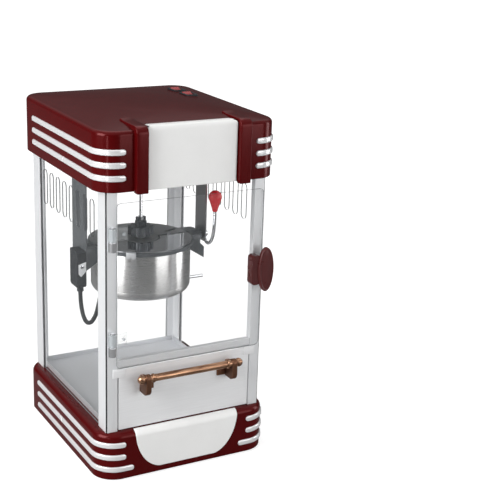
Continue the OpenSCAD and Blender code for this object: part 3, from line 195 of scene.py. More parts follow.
def cast_paint(name, colour, roughness):
    material = new_material(name, colour, 0.35, roughness, Coat_Weight=0.15)
    vary_roughness(material, noise(material, 120), roughness * 0.8, roughness * 1.2)
    add_bump(material, noise(material, 1400, detail=3), 0.00003)
    vary_colour(material, noise(material, 30), tuple(c * 0.8 for c in colour), colour)
    return material


def clear_plastic(name, colour, alpha, roughness):
    """Clear acrylic, seen through by its alpha, so that light reaches what is behind it."""
    material = new_material(name, colour, 0.0, roughness, Alpha=alpha, Coat_Weight=0.4)
    vary_roughness(material, noise(material, 25), roughness * 0.6, roughness * 1.5)
    add_bump(material, noise(material, 40, detail=1), 0.00001)
    return material


def antique_copper():
    material = new_material("antique_copper", (0.42, 0.19, 0.09), 1.0, 0.32)
    streaks = noise(material, 500, (0.06, 1, 1), detail=5)
    vary_colour(material, streaks, (0.14, 0.068, 0.042), (0.54, 0.31, 0.19), 0.36, 0.6)
    vary_roughness(material, streaks, 0.42, 0.24)
    add_bump(material, streaks, 0.00004)
    return material


def antique_bronze():
    material = new_material("antique_bronze", (0.06, 0.03, 0.02), 0.8, 0.45)
    edge = add(material, "ShaderNodeNewGeometry").outputs["Pointiness"]
    vary_colour(material, edge, (0.03, 0.014, 0.010), (0.22, 0.10, 0.055), 0.5, 0.56)
    add_bump(material, noise(material, 700), 0.00005)
    return material


BURGUNDY = moulded_plastic(
    "burgundy_plastic",
    (0.083, 0.0018, 0.0024),
    0.2,
    peel=0.000002,
    mottle=0.04,
    Metallic=0.2,
    Specular_IOR_Level=0.15,
)
KNOB_BROWN = moulded_plastic("maroon_knob_plastic", (0.085, 0.018, 0.018), 0.3, Specular_IOR_Level=0.3)
PALE = moulded_plastic("pale_paint", (0.88, 0.88, 0.87), 0.42, peel=0.00001, mottle=0.02)
ALUMINIUM = brushed_metal("satin_aluminium", (0.86, 0.87, 0.885), 0.36, (1, 1, 0.02), Metallic=0.35)
FLAP_STEEL = brushed_metal("satin_flap_steel", (0.90, 0.905, 0.915), 0.42, (0.02, 1, 1), Metallic=0.25)
TRAY_STEEL = brushed_metal("tray_steel", (0.70, 0.71, 0.73), 0.38, (1, 0.02, 1), Metallic=0.6)
STRIPE = new_material("metallised_stripe", (0.87, 0.87, 0.88), 0.4, 0.22)
CHROME = new_material("chrome", (0.80, 0.81, 0.83), 1.0, 0.07)
POT_STEEL = turned_metal("polished_pot_steel", (0.70, 0.695, 0.69), 0.3)
MIRROR_STEEL = new_material("mirror_lid_steel", (0.62, 0.63, 0.65), 1.0, 0.06)
PAN = brushed_metal("pan_aluminium", (0.42, 0.42, 0.43), 0.4, (1, 1, 1), grain=400)
STRAP = brushed_metal("strap_steel", (0.42, 0.42, 0.43), 0.34, (1, 1, 0.05), grain=400)
CAST = cast_paint("dark_cast_paint", (0.115, 0.123, 0.132), 0.4)
COVER = cast_paint("grey_cover_paint", (0.20, 0.205, 0.21), 0.34)
GEAR = cast_paint("gear_grey", (0.055, 0.06, 0.068), 0.36)
BLACK = moulded_plastic("black_plastic", (0.018, 0.019, 0.022), 0.42, peel=0.00005, Specular_IOR_Level=0.3)
LEAD_BLACK = moulded_plastic("lead_black", (0.02, 0.021, 0.023), 0.5, Specular_IOR_Level=0.3)
RUBBER = moulded_plastic("black_rubber", (0.02, 0.02, 0.02), 0.75, peel=0.00006)
CLEAR = clear_plastic("clear_acrylic", (0.42, 0.45, 0.46), 0.04, 0.03)
# Opaque dark grey for the clear sheets' edge faces: painted shade for the dark line that a clear sheet's cut
# edge shows
PAINTED_EDGE_SHADE = clear_plastic("acrylic_edge_painted_shade", (0.15, 0.16, 0.165), 1.0, 0.12)
CLEAR_BODY = clear_plastic("acrylic_hinge", (0.60, 0.64, 0.66), 0.45, 0.06)
CLEAR_LEAF = clear_plastic("acrylic_leaf", (0.80, 0.83, 0.84), 0.12, 0.04)
COPPER = antique_copper()
BRONZE = antique_bronze()
RED_ROCKER = moulded_plastic("red_rocker_plastic", (0.33, 0.003, 0.006), 0.18)
RED_KNOB = moulded_plastic("red_knob_plastic", (0.75, 0.02, 0.03), 0.2)
BULB = new_material("bulb_glass", (0.95, 0.93, 0.88), 0.0, 0.12, Alpha=0.6)
# Near-black painted shade, put on the posts' corner notch faces and in the screw slot where only shade falls
PAINTED_SHADE = new_material("painted_shade_gap", (0.03, 0.03, 0.035), 0.0, 0.7)

for metal, low, high in ((STRIPE, 0.14, 0.28), (CHROME, 0.05, 0.12), (MIRROR_STEEL, 0.05, 0.11)):
    vary_roughness(metal, noise(metal, 45), low, high)
    add_bump(metal, noise(metal, 35, detail=1), 0.00003, 0.3)


# Shapes

TIP = 0.01  # radius where a turned piece meets its axis


def finish_piece(piece, body, slot, materials, replaces=(), bevel=0.0, sharp=32):
    """Shades a piece, gives it its materials and puts it on its body."""
    places = [face.material_index for face in piece.data.polygons]
    piece.data.materials.clear()
    for material in materials if isinstance(materials, (list, tuple)) else [materials]:
        piece.data.materials.append(material)
    last = len(piece.data.materials) - 1
    piece.data.polygons.foreach_set("material_index", [min(place, last) for place in places])
    piece.data.shade_smooth()
    piece.data.set_sharp_from_angle(angle=radians(sharp))
    if bevel:
        rounding = piece.modifiers.new("rounding", "BEVEL")
        rounding.width = bevel * MM
        rounding.segments = 3
        rounding.limit_method = "ANGLE"
        rounding.angle_limit = radians(sharp)
        rounding.harden_normals = True
    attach(piece, body)
    if replaces:
        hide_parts(*replaces)


def mesh_piece(name, vertices, faces):
    """A new object from vertices in millimetres."""
    mesh = bpy.data.meshes.new(name)
    mesh.from_pydata([Vector(v) * MM for v in vertices], [], faces)
    return weld(name, mesh, 1e-7)


def weld(name, mesh, distance):
    """A new object from a mesh, its doubled points merged and its faces turned outward."""
    work = bmesh.new()
    work.from_mesh(mesh)
    bmesh.ops.remove_doubles(work, verts=work.verts, dist=distance)
    bmesh.ops.recalc_face_normals(work, faces=work.faces)
    work.to_mesh(mesh)
    work.free()
    return new_object(name, mesh)


def evaluated_mesh(piece):
    """A piece's mesh with its modifiers applied."""
    graph = bpy.context.evaluated_depsgraph_get()
    return bpy.data.meshes.new_from_object(piece.evaluated_get(graph))


def join(name, parts):
    """One object from several, modifiers applied and material places kept."""
    work = bmesh.new()
    for part in parts:
        mesh = evaluated_mesh(part)
        mesh.transform(part.matrix_world)
        work.from_mesh(mesh)
        bpy.data.meshes.remove(mesh)
    for part in parts:
        bpy.data.objects.remove(part)
    mesh = bpy.data.meshes.new(name)
    work.to_mesh(mesh)
    work.free()
    return new_object(name, mesh)


def loft(name, rings, closed=False):
    """Skin through rings of as many points each; open ends are capped."""
    count = len(rings[0])
    vertices = [p for ring in rings for p in ring]
    faces = []
    for i in range(len(rings) if closed else len(rings) - 1):
        j = (i + 1) % len(rings)
        for k in range(count):
            m = (k + 1) % count
            faces.append((i * count + k, i * count + m, j * count + m, j * count + k))
    if not closed:
        faces += [tuple(range(count)), tuple(range(len(vertices) - count, len(vertices)))]
    return mesh_piece(name, vertices, faces)


def rounded_loop(w, d, r, steps=12):
    """Corner-rounded rectangle round the origin, anticlockwise."""
    points = []
    for sx, sy, start in ((1, 1, 0), (-1, 1, 90), (-1, -1, 180), (1, -1, 270)):
        for k in range(steps + 1):
            a = radians(start + 90 * k / steps)
            points.append((sx * (w / 2 - r) + r * cos(a), sy * (d / 2 - r) + r * sin(a)))
    return points


def rectangle(left, bottom, right, top):
    return [(left, bottom), (right, bottom), (right, top), (left, top)]


def arc(cx, cy, r, start, end, steps=12):
    """Points on an arc, angles in degrees."""
    angles = [radians(start + (end - start) * k / steps) for k in range(steps + 1)]
    return [(cx + r * cos(a), cy + r * sin(a)) for a in angles]


def globe(r, angles, foot=0):
    """Profile of a globe that stands at a height: (radius, height) at angles from its foot, in degrees."""
    turns = [radians(a) for a in angles]
    return [(r * sin(a), foot + r - r * cos(a)) for a in turns]


def circle(steps):
    return [2 * pi * k / steps for k in range(steps)]


def turned(profile, place, axis, steps):
    """Points of a turned surface, a row for each angle, from (radius, height) points."""
    turn = Z.rotation_difference(axis).to_matrix()
    rows = [[(r * cos(a), r * sin(a), h) for r, h in profile] for a in circle(steps)]
    return [[turn @ Vector(p) + Vector(place) for p in row] for row in rows]


def lathe(name, profile, place, axis, steps):
    """Turned solid, closed at both ends of its profile."""
    return loft(name, list(zip(*turned(profile, place, axis, steps))))


def ring_lathe(name, profile, place, axis, steps):
    """Turned ring: the profile's last point joins its first."""
    return loft(name, turned(profile, place, axis, steps), closed=True)


def rod(name, start, end, r, edge=0.3, steps=32):
    """Round rod with broken edges."""
    start, end = Vector(start), Vector(end)
    length = (end - start).length
    profile = [(r - edge, 0), (r, edge), (r, length - edge), (r - edge, length)]
    return lathe(name, profile, start, (end - start).normalized(), steps)


def flat(name, outer, thickness, matrix, holes=(), bevel=0.3):
    """Sheet with rounded edges from a flat outline; the matrix maps its middle plane, in millimetres."""
    curve = bpy.data.curves.new(name, "CURVE")
    curve.dimensions = "2D"
    curve.fill_mode = "BOTH"
    curve.extrude = thickness / 2 - bevel
    curve.bevel_depth = bevel
    curve.bevel_resolution = 2
    curve.offset = -bevel
    for loop in (outer, *holes):
        spline = curve.splines.new("POLY")
        spline.points.add(len(loop) - 1)
        for point, (u, v) in zip(spline.points, loop):
            point.co = (u, v, 0, 1)
        spline.use_cyclic_u = True
    holder = new_object(name, curve)
    mesh = evaluated_mesh(holder)
    bpy.data.objects.remove(holder)
    mesh.transform(Matrix.Scale(MM, 4) @ matrix)
    return weld(name, mesh, 2e-6)


def plane(origin, u, v):
    """Matrix that takes a sheet's own x and y to the directions u and v."""
    u, v = Vector(u), Vector(v)
    return Matrix.Translation(Vector(origin)) @ Matrix((u, v, u.cross(v))).transposed().to_4x4()


def front_plane(y):
    return plane((0, y, 0), X, Z)


def side_plane(x):
    return plane((x, 0, 0), Y, Z)


def edge_faces(piece, direction):
    """Gives the faces that turn away from a direction the second material, which on the clear sheets is the
    dark painted edge shade.
    """
    for face in piece.data.polygons:
        face.material_index = 0 if abs(face.normal.dot(direction)) > 0.7 else 1


def carve(piece, cutters):
    """Cuts the cutters out of the piece and removes them."""
    tool = join("cutter", cutters)
    cut = piece.modifiers.new("cut", "BOOLEAN")
    cut.object = tool
    cut.solver = "EXACT"
    mesh = evaluated_mesh(piece)
    piece.modifiers.clear()
    piece.data = mesh
    bpy.data.objects.remove(tool)
    return piece


def block(name, low, high, bevel=0.0):
    """Box between two corners with rounded edges."""
    low, high = Vector(low), Vector(high)
    middle, size = (low + high) / 2, high - low
    edge = max(bevel, 0.01)
    rings = []
    for a in (0, pi / 6, pi / 3, pi / 2):
        rings.append((size.z / 2 - edge + edge * sin(a), edge * (1 - cos(a))))
    rings = [(-z, inset) for z, inset in reversed(rings)] + rings
    loops = []
    for z, inset in rings:
        loop = rounded_loop(size.x - 2 * inset, size.y - 2 * inset, max(edge - inset, 0.005), 3)
        loops.append([(middle.x + x, middle.y + y, middle.z + z) for x, y in loop])
    return loft(name, loops)


def smooth_path(points, per_span):
    """Points on a smooth curve through the given ones."""
    points = [Vector(p) for p in points]
    ends = [2 * points[0] - points[1], *points, 2 * points[-1] - points[-2]]
    path = []
    for i in range(1, len(ends) - 2):
        for k in range(per_span):
            path.append(catmull(ends[i - 1], ends[i], ends[i + 1], ends[i + 2], k / per_span))
    return [*path, points[-1]]


def tube(name, points, r, steps, per_span):
    """Round tube on a smooth curve through the points."""
    path = smooth_path(points, per_span)
    rings = []
    normal = None
    for i, p in enumerate(path):
        ahead = (path[min(i + 1, len(path) - 1)] - path[max(i - 1, 0)]).normalized()
        side = normal if normal is not None else ahead.orthogonal()
        normal = (side - ahead * side.dot(ahead)).normalized()
        across = ahead.cross(normal)
        rings.append([p + r * (cos(a) * normal + sin(a) * across) for a in circle(steps)])
    return loft(name, rings)


def catmull(a, b, c, d, t):
    """Point between b and c on the smooth curve through a, b, c and d."""
    return 0.5 * (2 * b + (c - a) * t + (2 * a - 5 * b + 4 * c - d) * t * t + (3 * b - a - 3 * c + d) * t**3)


def dress(material, *nodes):
    """Gives CAD nodes a material in place of their plain one."""
    for node in nodes:
        for place in frame["nodes"][node].material_slots:
            place.material = material


BODY = {node: body for body, nodes in frame["record"]["behaviour"]["bodies"].items() for node in nodes}
SLOT = {entry["node"]: entry["material_slot"] for entry in frame["record"]["subparts"]}


def stand_for(piece, node, materials, bevel=0.0, sharp=32):
    """Puts a piece in the place of a CAD node."""
    finish_piece(piece, BODY[node], SLOT[node], materials, (node,), bevel, sharp)


def trim(piece, node, materials):
    """Puts a detail on a CAD node's body without standing for the node."""
    finish_piece(piece, BODY[node], SLOT[node], materials)


# Canopy

CANOPY_CORNER = 28
CANOPY_SIDE = 69
CANOPY_EDGE = 6
DOME_RUN = 100
WALL = 2.5

canopy_low, canopy_high = span("canopy_shell")
canopy_w, canopy_d = canopy_high.x - canopy_low.x, canopy_high.y - canopy_low.y
canopy_z = canopy_low.z
dome_rise = canopy_high.z - canopy_z - CANOPY_SIDE - CANOPY_EDGE
canopy_front = canopy_low.y


def canopy_ring(z, inset):
    blend = max(0, inset - CANOPY_EDGE) * 0.6
    w, d = canopy_w - 2 * inset, canopy_d - 2 * inset
    r = min(w / 2 - 0.5, CANOPY_CORNER - min(inset, CANOPY_EDGE) + blend)
    return [(x, y, z) for x, y in rounded_loop(w, d, r, 16)]


def canopy_rings(shrink, start_z):
    """Rings of the canopy's side, its rounded top edge and its dome."""
    edge_z = canopy_z + CANOPY_SIDE - shrink
    rings = [canopy_ring(start_z, shrink)]
    for k in range(9):
        a = radians(90 * k / 8)
        inset = shrink + CANOPY_EDGE * (1 - cos(a))
        rings.append(canopy_ring(edge_z + CANOPY_EDGE * sin(a), inset))
    for k in range(1, 21):
        s = k / 20
        rise = dome_rise * (1 - (1 - s) ** 2)
        rings.append(canopy_ring(edge_z + CANOPY_EDGE + rise, shrink + CANOPY_EDGE + DOME_RUN * s))
    return rings


def dome_height(inset):
    """Height of the canopy's top at a distance in from its side."""
    s = max(0, inset - CANOPY_EDGE) / DOME_RUN
    return canopy_z + CANOPY_SIDE + CANOPY_EDGE + dome_rise * (1 - (1 - min(1, s)) ** 2)


def make_canopy():
    lip = 0.6
    outer = canopy_rings(0, canopy_z + lip)
    rim = [canopy_ring(canopy_z, lip), canopy_ring(canopy_z, WALL - lip)]
    inner = canopy_rings(WALL, canopy_z + lip)
    shell = loft("canopy_shell_moulding", outer[::-1] + rim + inner)
    vents, pitch, half_w = 7, 11, 2
    vent_z, vent_h = canopy_z + 30, 26
    gland_r = 6.6
    inside, outside = canopy_high.y - 8, canopy_high.y + 3
    cutters = []
    for k in range(vents):
        x = (k - (vents - 1) // 2) * pitch
        low, high = (x - half_w, inside + 2, vent_z), (x + half_w, outside, vent_z + vent_h)
        cutters.append(block("vent", low, high, half_w - 0.1))
    inset, below, above = X + Y, 18 * Z, 6 * Z
    for node in ("rocker_heat", "rocker_light"):
        low, high = bezel_box(node)
        cutters.append(block("pocket", low + inset - below, high - inset + above))
    gland_low, gland_high = span("cord_gland")
    middle = (gland_low + gland_high) / 2
    hole = (middle.x, inside, middle.z), (middle.x, outside, middle.z)
    cutters.append(rod("gland_hole", *hole, gland_r))
    stand_for(carve(shell, cutters), "canopy_shell", BURGUNDY)


BEZEL_W, BEZEL_D, BEZEL_H = 17, 23, 3.6


def bezel_box(rocker):
    """Corners of the bezel's flange round a rocker."""
    low, high = span(rocker)
    middle = (low + high) / 2
    top = span("switch_bezels")[1].z
    corner = Vector((BEZEL_W / 2, BEZEL_D / 2, 0))
    return Vector((*middle.xy, top - BEZEL_H)) - corner, Vector((*middle.xy, top)) + corner


def make_ribs():
    low, high = span("canopy_ribs")
    width, run, proud = 16, 46, 1.6
    nose, tail = 10, 3
    ridge = [(canopy_front + y, max(high.z, dome_height(y) + proud)) for y in range(nose + 2, run - tail, 2)]
    end_y, end_z = canopy_front + run, dome_height(run) + proud
    ribs = []
    for x in (low.x, high.x - width):
        outline = [(low.y, low.z), *arc(low.y + nose, high.z - nose, nose, 180, 90, 14), *ridge]
        outline += [*arc(end_y - tail, end_z - tail, tail, 90, 0, 6), (end_y, low.z)]
        rib = flat("rib", outline, width, side_plane(x + width / 2), bevel=1.3)
        ribs.append(carve(rib, [loft("canopy_solid", canopy_rings(0, canopy_z - 6))]))
    stand_for(join("canopy_rib_pair", ribs), "canopy_ribs", BURGUNDY)


def pillow_sheet(name, surface, rows, columns, edge, thickness):
    """Sheet that stands out from a surface, thinning to nothing round its edge.

    surface(u, v, out) gives a point for u and v from 0 to 1, and edge(u, v) its distance to the sheet's edge.
    """
    front, back = [], []
    for i in range(rows + 1):
        for j in range(columns + 1):
            u, v = j / columns, i / rows
            u = 0.5 - 0.5 * cos(pi * u)
            rim = min(1, max(0, edge(u, v)) / thickness)
            front.append(surface(u, v, thickness * sqrt(1 - (1 - rim) ** 2)))
            back.append(surface(u, v, -0.2))
    count = len(front)
    wide = columns + 1
    faces = []
    for i in range(rows):
        for j in range(columns):
            a = i * wide + j
            b, c, d = a + 1, a + wide + 1, a + wide
            faces.append((a, b, c, d))
            faces.append((count + d, count + c, count + b, count + a))
    rim = [(i * wide + j, (i + 1) * wide + j) for i in range(rows) for j in (0, columns)]
    rim += [(i * wide + j, i * wide + j + 1) for j in range(columns) for i in (0, rows)]
    faces += [(a, b, count + b, count + a) for a, b in rim]
    return mesh_piece(name, front + back, faces)


def make_front_panel():
    """Pale panel between the ribs, its top rolled back over the canopy's edge."""
    low, high = span("canopy_front_panel")
    thickness = high.y - low.y
    roll, corner, back_run = 6, 4, 13
    straight = high.z - roll - low.z
    bend = roll * pi / 2
    length = straight + bend + back_run
    half_w = (high.x - low.x) / 2

    def half_width(v):
        left = length - v * length - (back_run + bend * 0.35)
        if left >= corner:
            return half_w
        return half_w - corner + sqrt(max(0, corner**2 - (corner - max(left, 0)) ** 2))

    def surface(u, v, out):
        s = v * length
        x = (2 * u - 1) * half_width(v)
        if s < straight:
            return (x, high.y - out, low.z + s)
        centre_y, centre_z = low.y + roll, high.z - roll
        a = min(1, (s - straight) / bend) * pi / 2
        r = roll - thickness + out
        run = max(0, s - straight - bend)
        drop = 0.12 * run
        return (x, centre_y - r * cos(a) + run, centre_z + r * sin(a) - drop)

    def edge(u, v):
        s = v * length
        return min((1 - abs(2 * u - 1)) * half_width(v), s, length - s)

    sheet = pillow_sheet("front_panel_sheet", surface, 90, 60, edge, thickness)
    stand_for(sheet, "canopy_front_panel", PALE)


# Stripes round the corners


def make_stripes(node, corner_r, starts):
    """Metallised strips with rounded ends.

    starts gives each strip's middle height and its end on the front.
    """
    low, high = span(node)
    proud, height, rear_end = 2, 7.5, 93
    wall_x, wall_y = high.x - proud, -low.y - proud
    strips = []
    for z, front_x in starts:
        front_run = wall_x - corner_r - front_x
        bend = corner_r * pi / 2
        side_run = wall_y - corner_r + rear_end
        length = front_run + bend + side_run

        def place(s, out):
            if s < front_run:
                return front_x + s, -wall_y - out
            if s < front_run + bend:
                a = (s - front_run) / corner_r
                r = corner_r + out
                return wall_x - corner_r + r * sin(a), -(wall_y - corner_r) - r * cos(a)
            return wall_x + out, -(wall_y - corner_r) + s - front_run - bend

        half = height / 2
        stops = [half * (1 - cos(pi / 2 * k / 8)) for k in range(1, 9)]
        steps = [half + (front_run - half) * k / 4 for k in range(1, 5)]
        steps += [front_run + bend * k / 20 for k in range(1, 21)]
        steps += [front_run + bend + (side_run - half) * k / 12 for k in range(1, 13)]
        stops = [0.02] + stops + steps + [length - s for s in reversed(stops)][1:] + [length - 0.02]
        for mirror in (1, -1):
            rings = []
            for s in stops:
                end = min(s, length - s)
                reach = sqrt(max(0, half**2 - max(0, half - end) ** 2)) or 0.05
                swell = sqrt(1 - (1 - min(1, end / 1.8)) ** 2)
                ring = []
                for k in range(15):
                    t = -cos(pi * k / 14)
                    rise = sqrt(max(0, 1 - abs(t) ** 5))
                    x, y = place(s, proud * swell * rise)
                    ring.append((mirror * x, y, z + reach * t))
                x, y = place(s, -0.2)
                ring += [(mirror * x, y, z + reach * 0.98), (mirror * x, y, z - reach * 0.98)]
                rings.append(ring)
            strips.append(loft("strip", rings))
    stand_for(join(node + "_set", strips), node, STRIPE, sharp=50)


# Base

BASE_CORNER = 31
BASE_EDGE = 8


def make_base():
    low, high = span("base_shell")
    w, d = high.x - low.x, high.y - low.y

    def ring(z, inset, r):
        return [(x, y, z) for x, y in rounded_loop(w - 2 * inset, d - 2 * inset, max(r, 0.5), 16)]

    outer = [ring(low.z + 0.6, 0, BASE_CORNER)]
    for k in range(11):
        a = radians(90 * k / 10)
        inset = BASE_EDGE * (1 - cos(a))
        outer.append(ring(high.z - BASE_EDGE * (1 - sin(a)), inset, BASE_CORNER - inset))
    inner = [ring(low.z + 0.6, WALL, BASE_CORNER - WALL), ring(high.z - WALL, WALL, BASE_CORNER - WALL)]
    rim = [ring(low.z, 0.6, BASE_CORNER - 0.6), ring(low.z, WALL - 0.6, BASE_CORNER - WALL)]
    shell = loft("base_shell_moulding", outer[::-1] + rim + inner)
    stand_for(shell, "base_shell", BURGUNDY)


def make_base_plate():
    """Pale plate that wraps the base's front, with elliptical lower corners."""
    low, high = span("base_front_plate")
    half_top, half_bottom = high.x, 36
    thickness = 1.2
    wall_y = low.y + thickness
    tall = high.z - low.z
    straight = high.z - thickness - BASE_EDGE - low.z
    bend_r = BASE_EDGE + thickness
    length = straight + bend_r * pi / 2

    def way(v):
        """Distance up the plate, with rows closer at its bottom and top."""
        return (v * v * (3 - 2 * v) + v) * length / 2

    def height(s):
        if s < straight:
            return s
        return straight + bend_r * sin((s - straight) / bend_r)

    def half_width(s):
        rise = min(1, height(s) / tall)
        return half_bottom + (half_top - half_bottom) * sqrt(1 - (1 - rise) ** 2)

    def surface(u, v, out):
        s = way(v)
        x = (2 * u - 1) * half_width(s)
        if s < straight:
            return (x, wall_y - out, low.z + s)
        a = (s - straight) / bend_r
        r = BASE_EDGE + out
        return (x, wall_y + BASE_EDGE - r * cos(a), low.z + straight + r * sin(a))

    def edge(u, v):
        s = way(v)
        return min((1 - abs(2 * u - 1)) * half_width(s), s, length - s)

    sheet = pillow_sheet("base_plate_sheet", surface, 70, 70, edge, thickness)
    stand_for(sheet, "base_front_plate", PALE)


# Posts and windows

POST_T = 6
SKIN = 1.4
GROOVE = 2.9


def make_post(node, sx, sy):
    low, high = span(node)
    outer_x, outer_y = max(abs(low.x), abs(high.x)), max(abs(low.y), abs(high.y))
    inner_x, inner_y = min(abs(low.x), abs(high.x)), min(abs(low.y), abs(high.y))
    skin_x, skin_y = outer_x - SKIN, outer_y - SKIN
    notch, rear_reach, side_reach = 1.6, 7, 9
    outline = [
        (skin_x, inner_y),
        (outer_x, inner_y),
        (outer_x, outer_y - notch),
        (outer_x - notch, outer_y - notch),
        (outer_x - notch, outer_y),
        (inner_x, outer_y),
    ]
    if sy > 0:
        outline += [
            (inner_x, skin_y),
            (inner_x + rear_reach, skin_y),
            (inner_x + rear_reach, skin_y - GROOVE),
            (inner_x, skin_y - GROOVE),
        ]
    outline += [
        (inner_x, outer_y - POST_T),
        (outer_x - POST_T, outer_y - POST_T),
        (outer_x - POST_T, inner_y),
        (skin_x - GROOVE, inner_y),
        (skin_x - GROOVE, inner_y + side_reach),
        (skin_x, inner_y + side_reach),
    ]
    ring = [(sx * x, sy * y) for x, y in outline]
    post = loft(node + "_profile", [[(x, y, z) for x, y in ring] for z in (low.z, high.z)])
    # The notch's faces take the second material: near-black painted shade down the post's corner groove
    for face in post.data.polygons:
        x, y = abs(face.center.x) / MM, abs(face.center.y) / MM
        if x > outer_x - notch - 0.1 and y > outer_y - notch - 0.1 and abs(face.normal.z) < 0.5:
            face.material_index = 1
    stand_for(post, node, [ALUMINIUM, PAINTED_SHADE], bevel=0.35)


def make_side_window(node):
    low, high = span(node)
    slot_w, slot_h, first_y, pitch, count = 13, 48.5, -80, 24, 8
    slot_low = span("ceiling_plate")[0].z - 72
    slots = []
    r = slot_w / 2
    for k in range(count):
        y = first_y + k * pitch
        slots.append([*arc(y, slot_low + slot_h - r, r, 0, 180), *arc(y, slot_low + r, r, 180, 360)])
    outline = rectangle(low.y, low.z, high.y, high.z)
    middle = side_plane((low.x + high.x) / 2)
    sheet = flat(node + "_sheet", outline, high.x - low.x, middle, slots, bevel=1.15)
    edge_faces(sheet, X)
    stand_for(sheet, node, [CLEAR, PAINTED_EDGE_SHADE])


def make_rear_window():
    low, high = span("window_rear")
    outline = rectangle(low.x, low.z, high.x, high.z)
    sheet = flat("window_rear_sheet", outline, high.y - low.y, front_plane((low.y + high.y) / 2))
    edge_faces(sheet, Y)
    stand_for(sheet, "window_rear", [CLEAR, PAINTED_EDGE_SHADE])


# Door


def make_door():
    low, high = span("door_panel")
    w, h = high.x - low.x, high.z - low.z
    cx, cz = (low.x + high.x) / 2, (low.z + high.z) / 2
    corner = 6
    outline = [(cx + x, cz + z) for x, z in rounded_loop(w, h, corner)]
    sheet = flat("door_sheet", outline, high.y - low.y, front_plane((low.y + high.y) / 2), bevel=1.4)
    edge_faces(sheet, Y)
    stand_for(sheet, "door_panel", [CLEAR, PAINTED_EDGE_SHADE])


def make_hinges():
    low, high = span("door_knuckles")
    barrel_low, barrel_high = span("door_hinge_barrels")
    r = 5
    axis_x, axis_y = low.x + r, barrel_low.y + r
    knuckle_h, barrel_h = 16.5, 13
    leaf_end = high.x
    door_y = span("door_panel")[0].y
    screw_x = leaf_end - 5
    knuckles, barrels = [], []
    for foot_z in (low.z, high.z - knuckle_h):
        start, end = (axis_x, axis_y, foot_z), (axis_x, axis_y, foot_z + knuckle_h)
        knuckles.append(rod("knuckle", start, end, r, 0.6, 96))
        bore = [(1.9, 0.4), (2.6, 0.4), (2.6, knuckle_h - 0.4), (1.9, knuckle_h - 0.4)]
        knuckles.append(lathe("knuckle_bore", bore, start, Z, 32))
        leaf = (axis_x, door_y - 2, foot_z), (leaf_end, door_y, foot_z + knuckle_h)
        knuckles.append(block("leaf", *leaf, 0.5))
        for face in knuckles[-1].data.polygons:
            face.material_index = 1
        screw_z = foot_z + 8.2
        screw = (screw_x, door_y - 1.6, screw_z), (screw_x, door_y - 3.2, screw_z)
        knuckles.append(rod("leaf_screw", *screw, 2.2))
    for bottom in (barrel_low.z, barrel_high.z - barrel_h):
        start, end = (axis_x, axis_y, bottom), (axis_x, axis_y, bottom + barrel_h)
        barrels.append(rod("barrel", start, end, r, 0.7, 96))
        foot = (axis_x - 4, axis_y, bottom + 0.2), (axis_x + 4, barrel_high.y, bottom + barrel_h - 0.2)
        barrels.append(block("foot", *foot, 0.5))
    stand_for(join("door_knuckle_pair", knuckles), "door_knuckles", [CLEAR_BODY, CLEAR_LEAF])
    stand_for(join("hinge_barrel_pair", barrels), "door_hinge_barrels", CHROME)


def oval_ring(cx, cz, w, h, y):
    return [(cx + w / 2 * cos(a), y, cz + h / 2 * sin(a)) for a in circle(72)]


def make_door_knob():
    low, high = span("door_knob")
    w, h = 22.5, high.z - low.z
    cx, cz = high.x - w / 2, (low.z + high.z) / 2
    face = low.y
    back = face + 7
    steps = [
        (5.0, back),
        (1.2, back),
        (0.0, back - 1.2),
        (0.0, face + 1.9),
        (0.7, face + 0.8),
        (1.7, face + 0.3),
        (2.6, face + 0.5),
        (3.2, face + 0.9),
        (4.4, face + 0.75),
        (8.0, face + 0.2),
        (10.4, face),
    ]
    oval = loft("knob_oval", [oval_ring(cx, cz, w - 2 * inset, h - 2 * inset, y) for inset, y in steps])
    neck_x, neck_w, neck_h = 92, 12, 40
    door_y = span("door_panel")[0].y
    rings = []
    for inset, y in ((1.0, door_y), (0.3, door_y - 0.4), (0, door_y - 1.2), (0, back - 2), (0, back - 3.4)):
        loop = rounded_loop(neck_w - 2 * inset, neck_h - 2 * inset, 4)
        rings.append([(neck_x + x, y, cz + z) for x, z in loop])
    neck = loft("knob_neck", rings)
    stand_for(join("door_knob_moulding", [oval, neck]), "door_knob", KNOB_BROWN)


# Flap and its handle


def make_flap():
    low, high = span("flap_panel")
    half_w, face_y, ear_top = 94.1, -131, high.z
    sheet_t, fold, roll = 1.2, 8.6, 1.6
    top_arc = arc(face_y + roll, ear_top - roll, roll, 180, 90, 6)
    inner = arc(face_y + roll, ear_top - roll, roll - sheet_t, 90, 180, 6)
    lip_y = face_y + fold - 1
    section = [(face_y, low.z), *top_arc, (lip_y, ear_top), (lip_y, ear_top - sheet_t)]
    section += [*inner, (face_y + sheet_t, low.z)]
    parts = [loft("skin", [[(x, y, z) for y, z in section] for x in (-half_w, half_w)])]
    for sx in (-1, 1):
        x0, x1 = sorted((sx * half_w, sx * (half_w - sheet_t)))
        side = (x0, face_y + 0.1, low.z), (x1, face_y + fold, ear_top - 0.2)
        parts.append(block("fold", *side, 0.35))
        e0, e1 = sorted((sx * (half_w - 8), sx * high.x))
        parts.append(block("ear", (e0, low.y, ear_top - 11.8), (e1, face_y, ear_top), 0.4))
    stand_for(join("flap_sheet", parts), "flap_panel", FLAP_STEEL, bevel=0.25)


def make_handle():
    low, high = span("handle_bar")
    cy, cz = (low.y + high.y) / 2, (low.z + high.z) / 2
    ball_r, bar_r = (high.z - low.z) / 2, 4.8
    ball = globe(ball_r, range(10, 141, 10))
    neck = ball[-1][1]
    steps = [(-0.9, 0.5), (0, 1.2), (0, 9.6), (0.7, 9.8), (1.1, 10.3), (1.1, 12), (0.6, 12.5)]
    steps += [(-0.5, 12.8), (-0.5, 13.6), (0, 14)]
    half = [(TIP, 0), *ball, *((bar_r + out, neck + h) for out, h in steps)]
    whole = half + [(r, 2 * high.x - h) for r, h in reversed(half)]
    bar = lathe("handle_bar_turned", whole, (-high.x, cy, cz), X, 64)
    stand_for(bar, "handle_bar", COPPER, sharp=50)


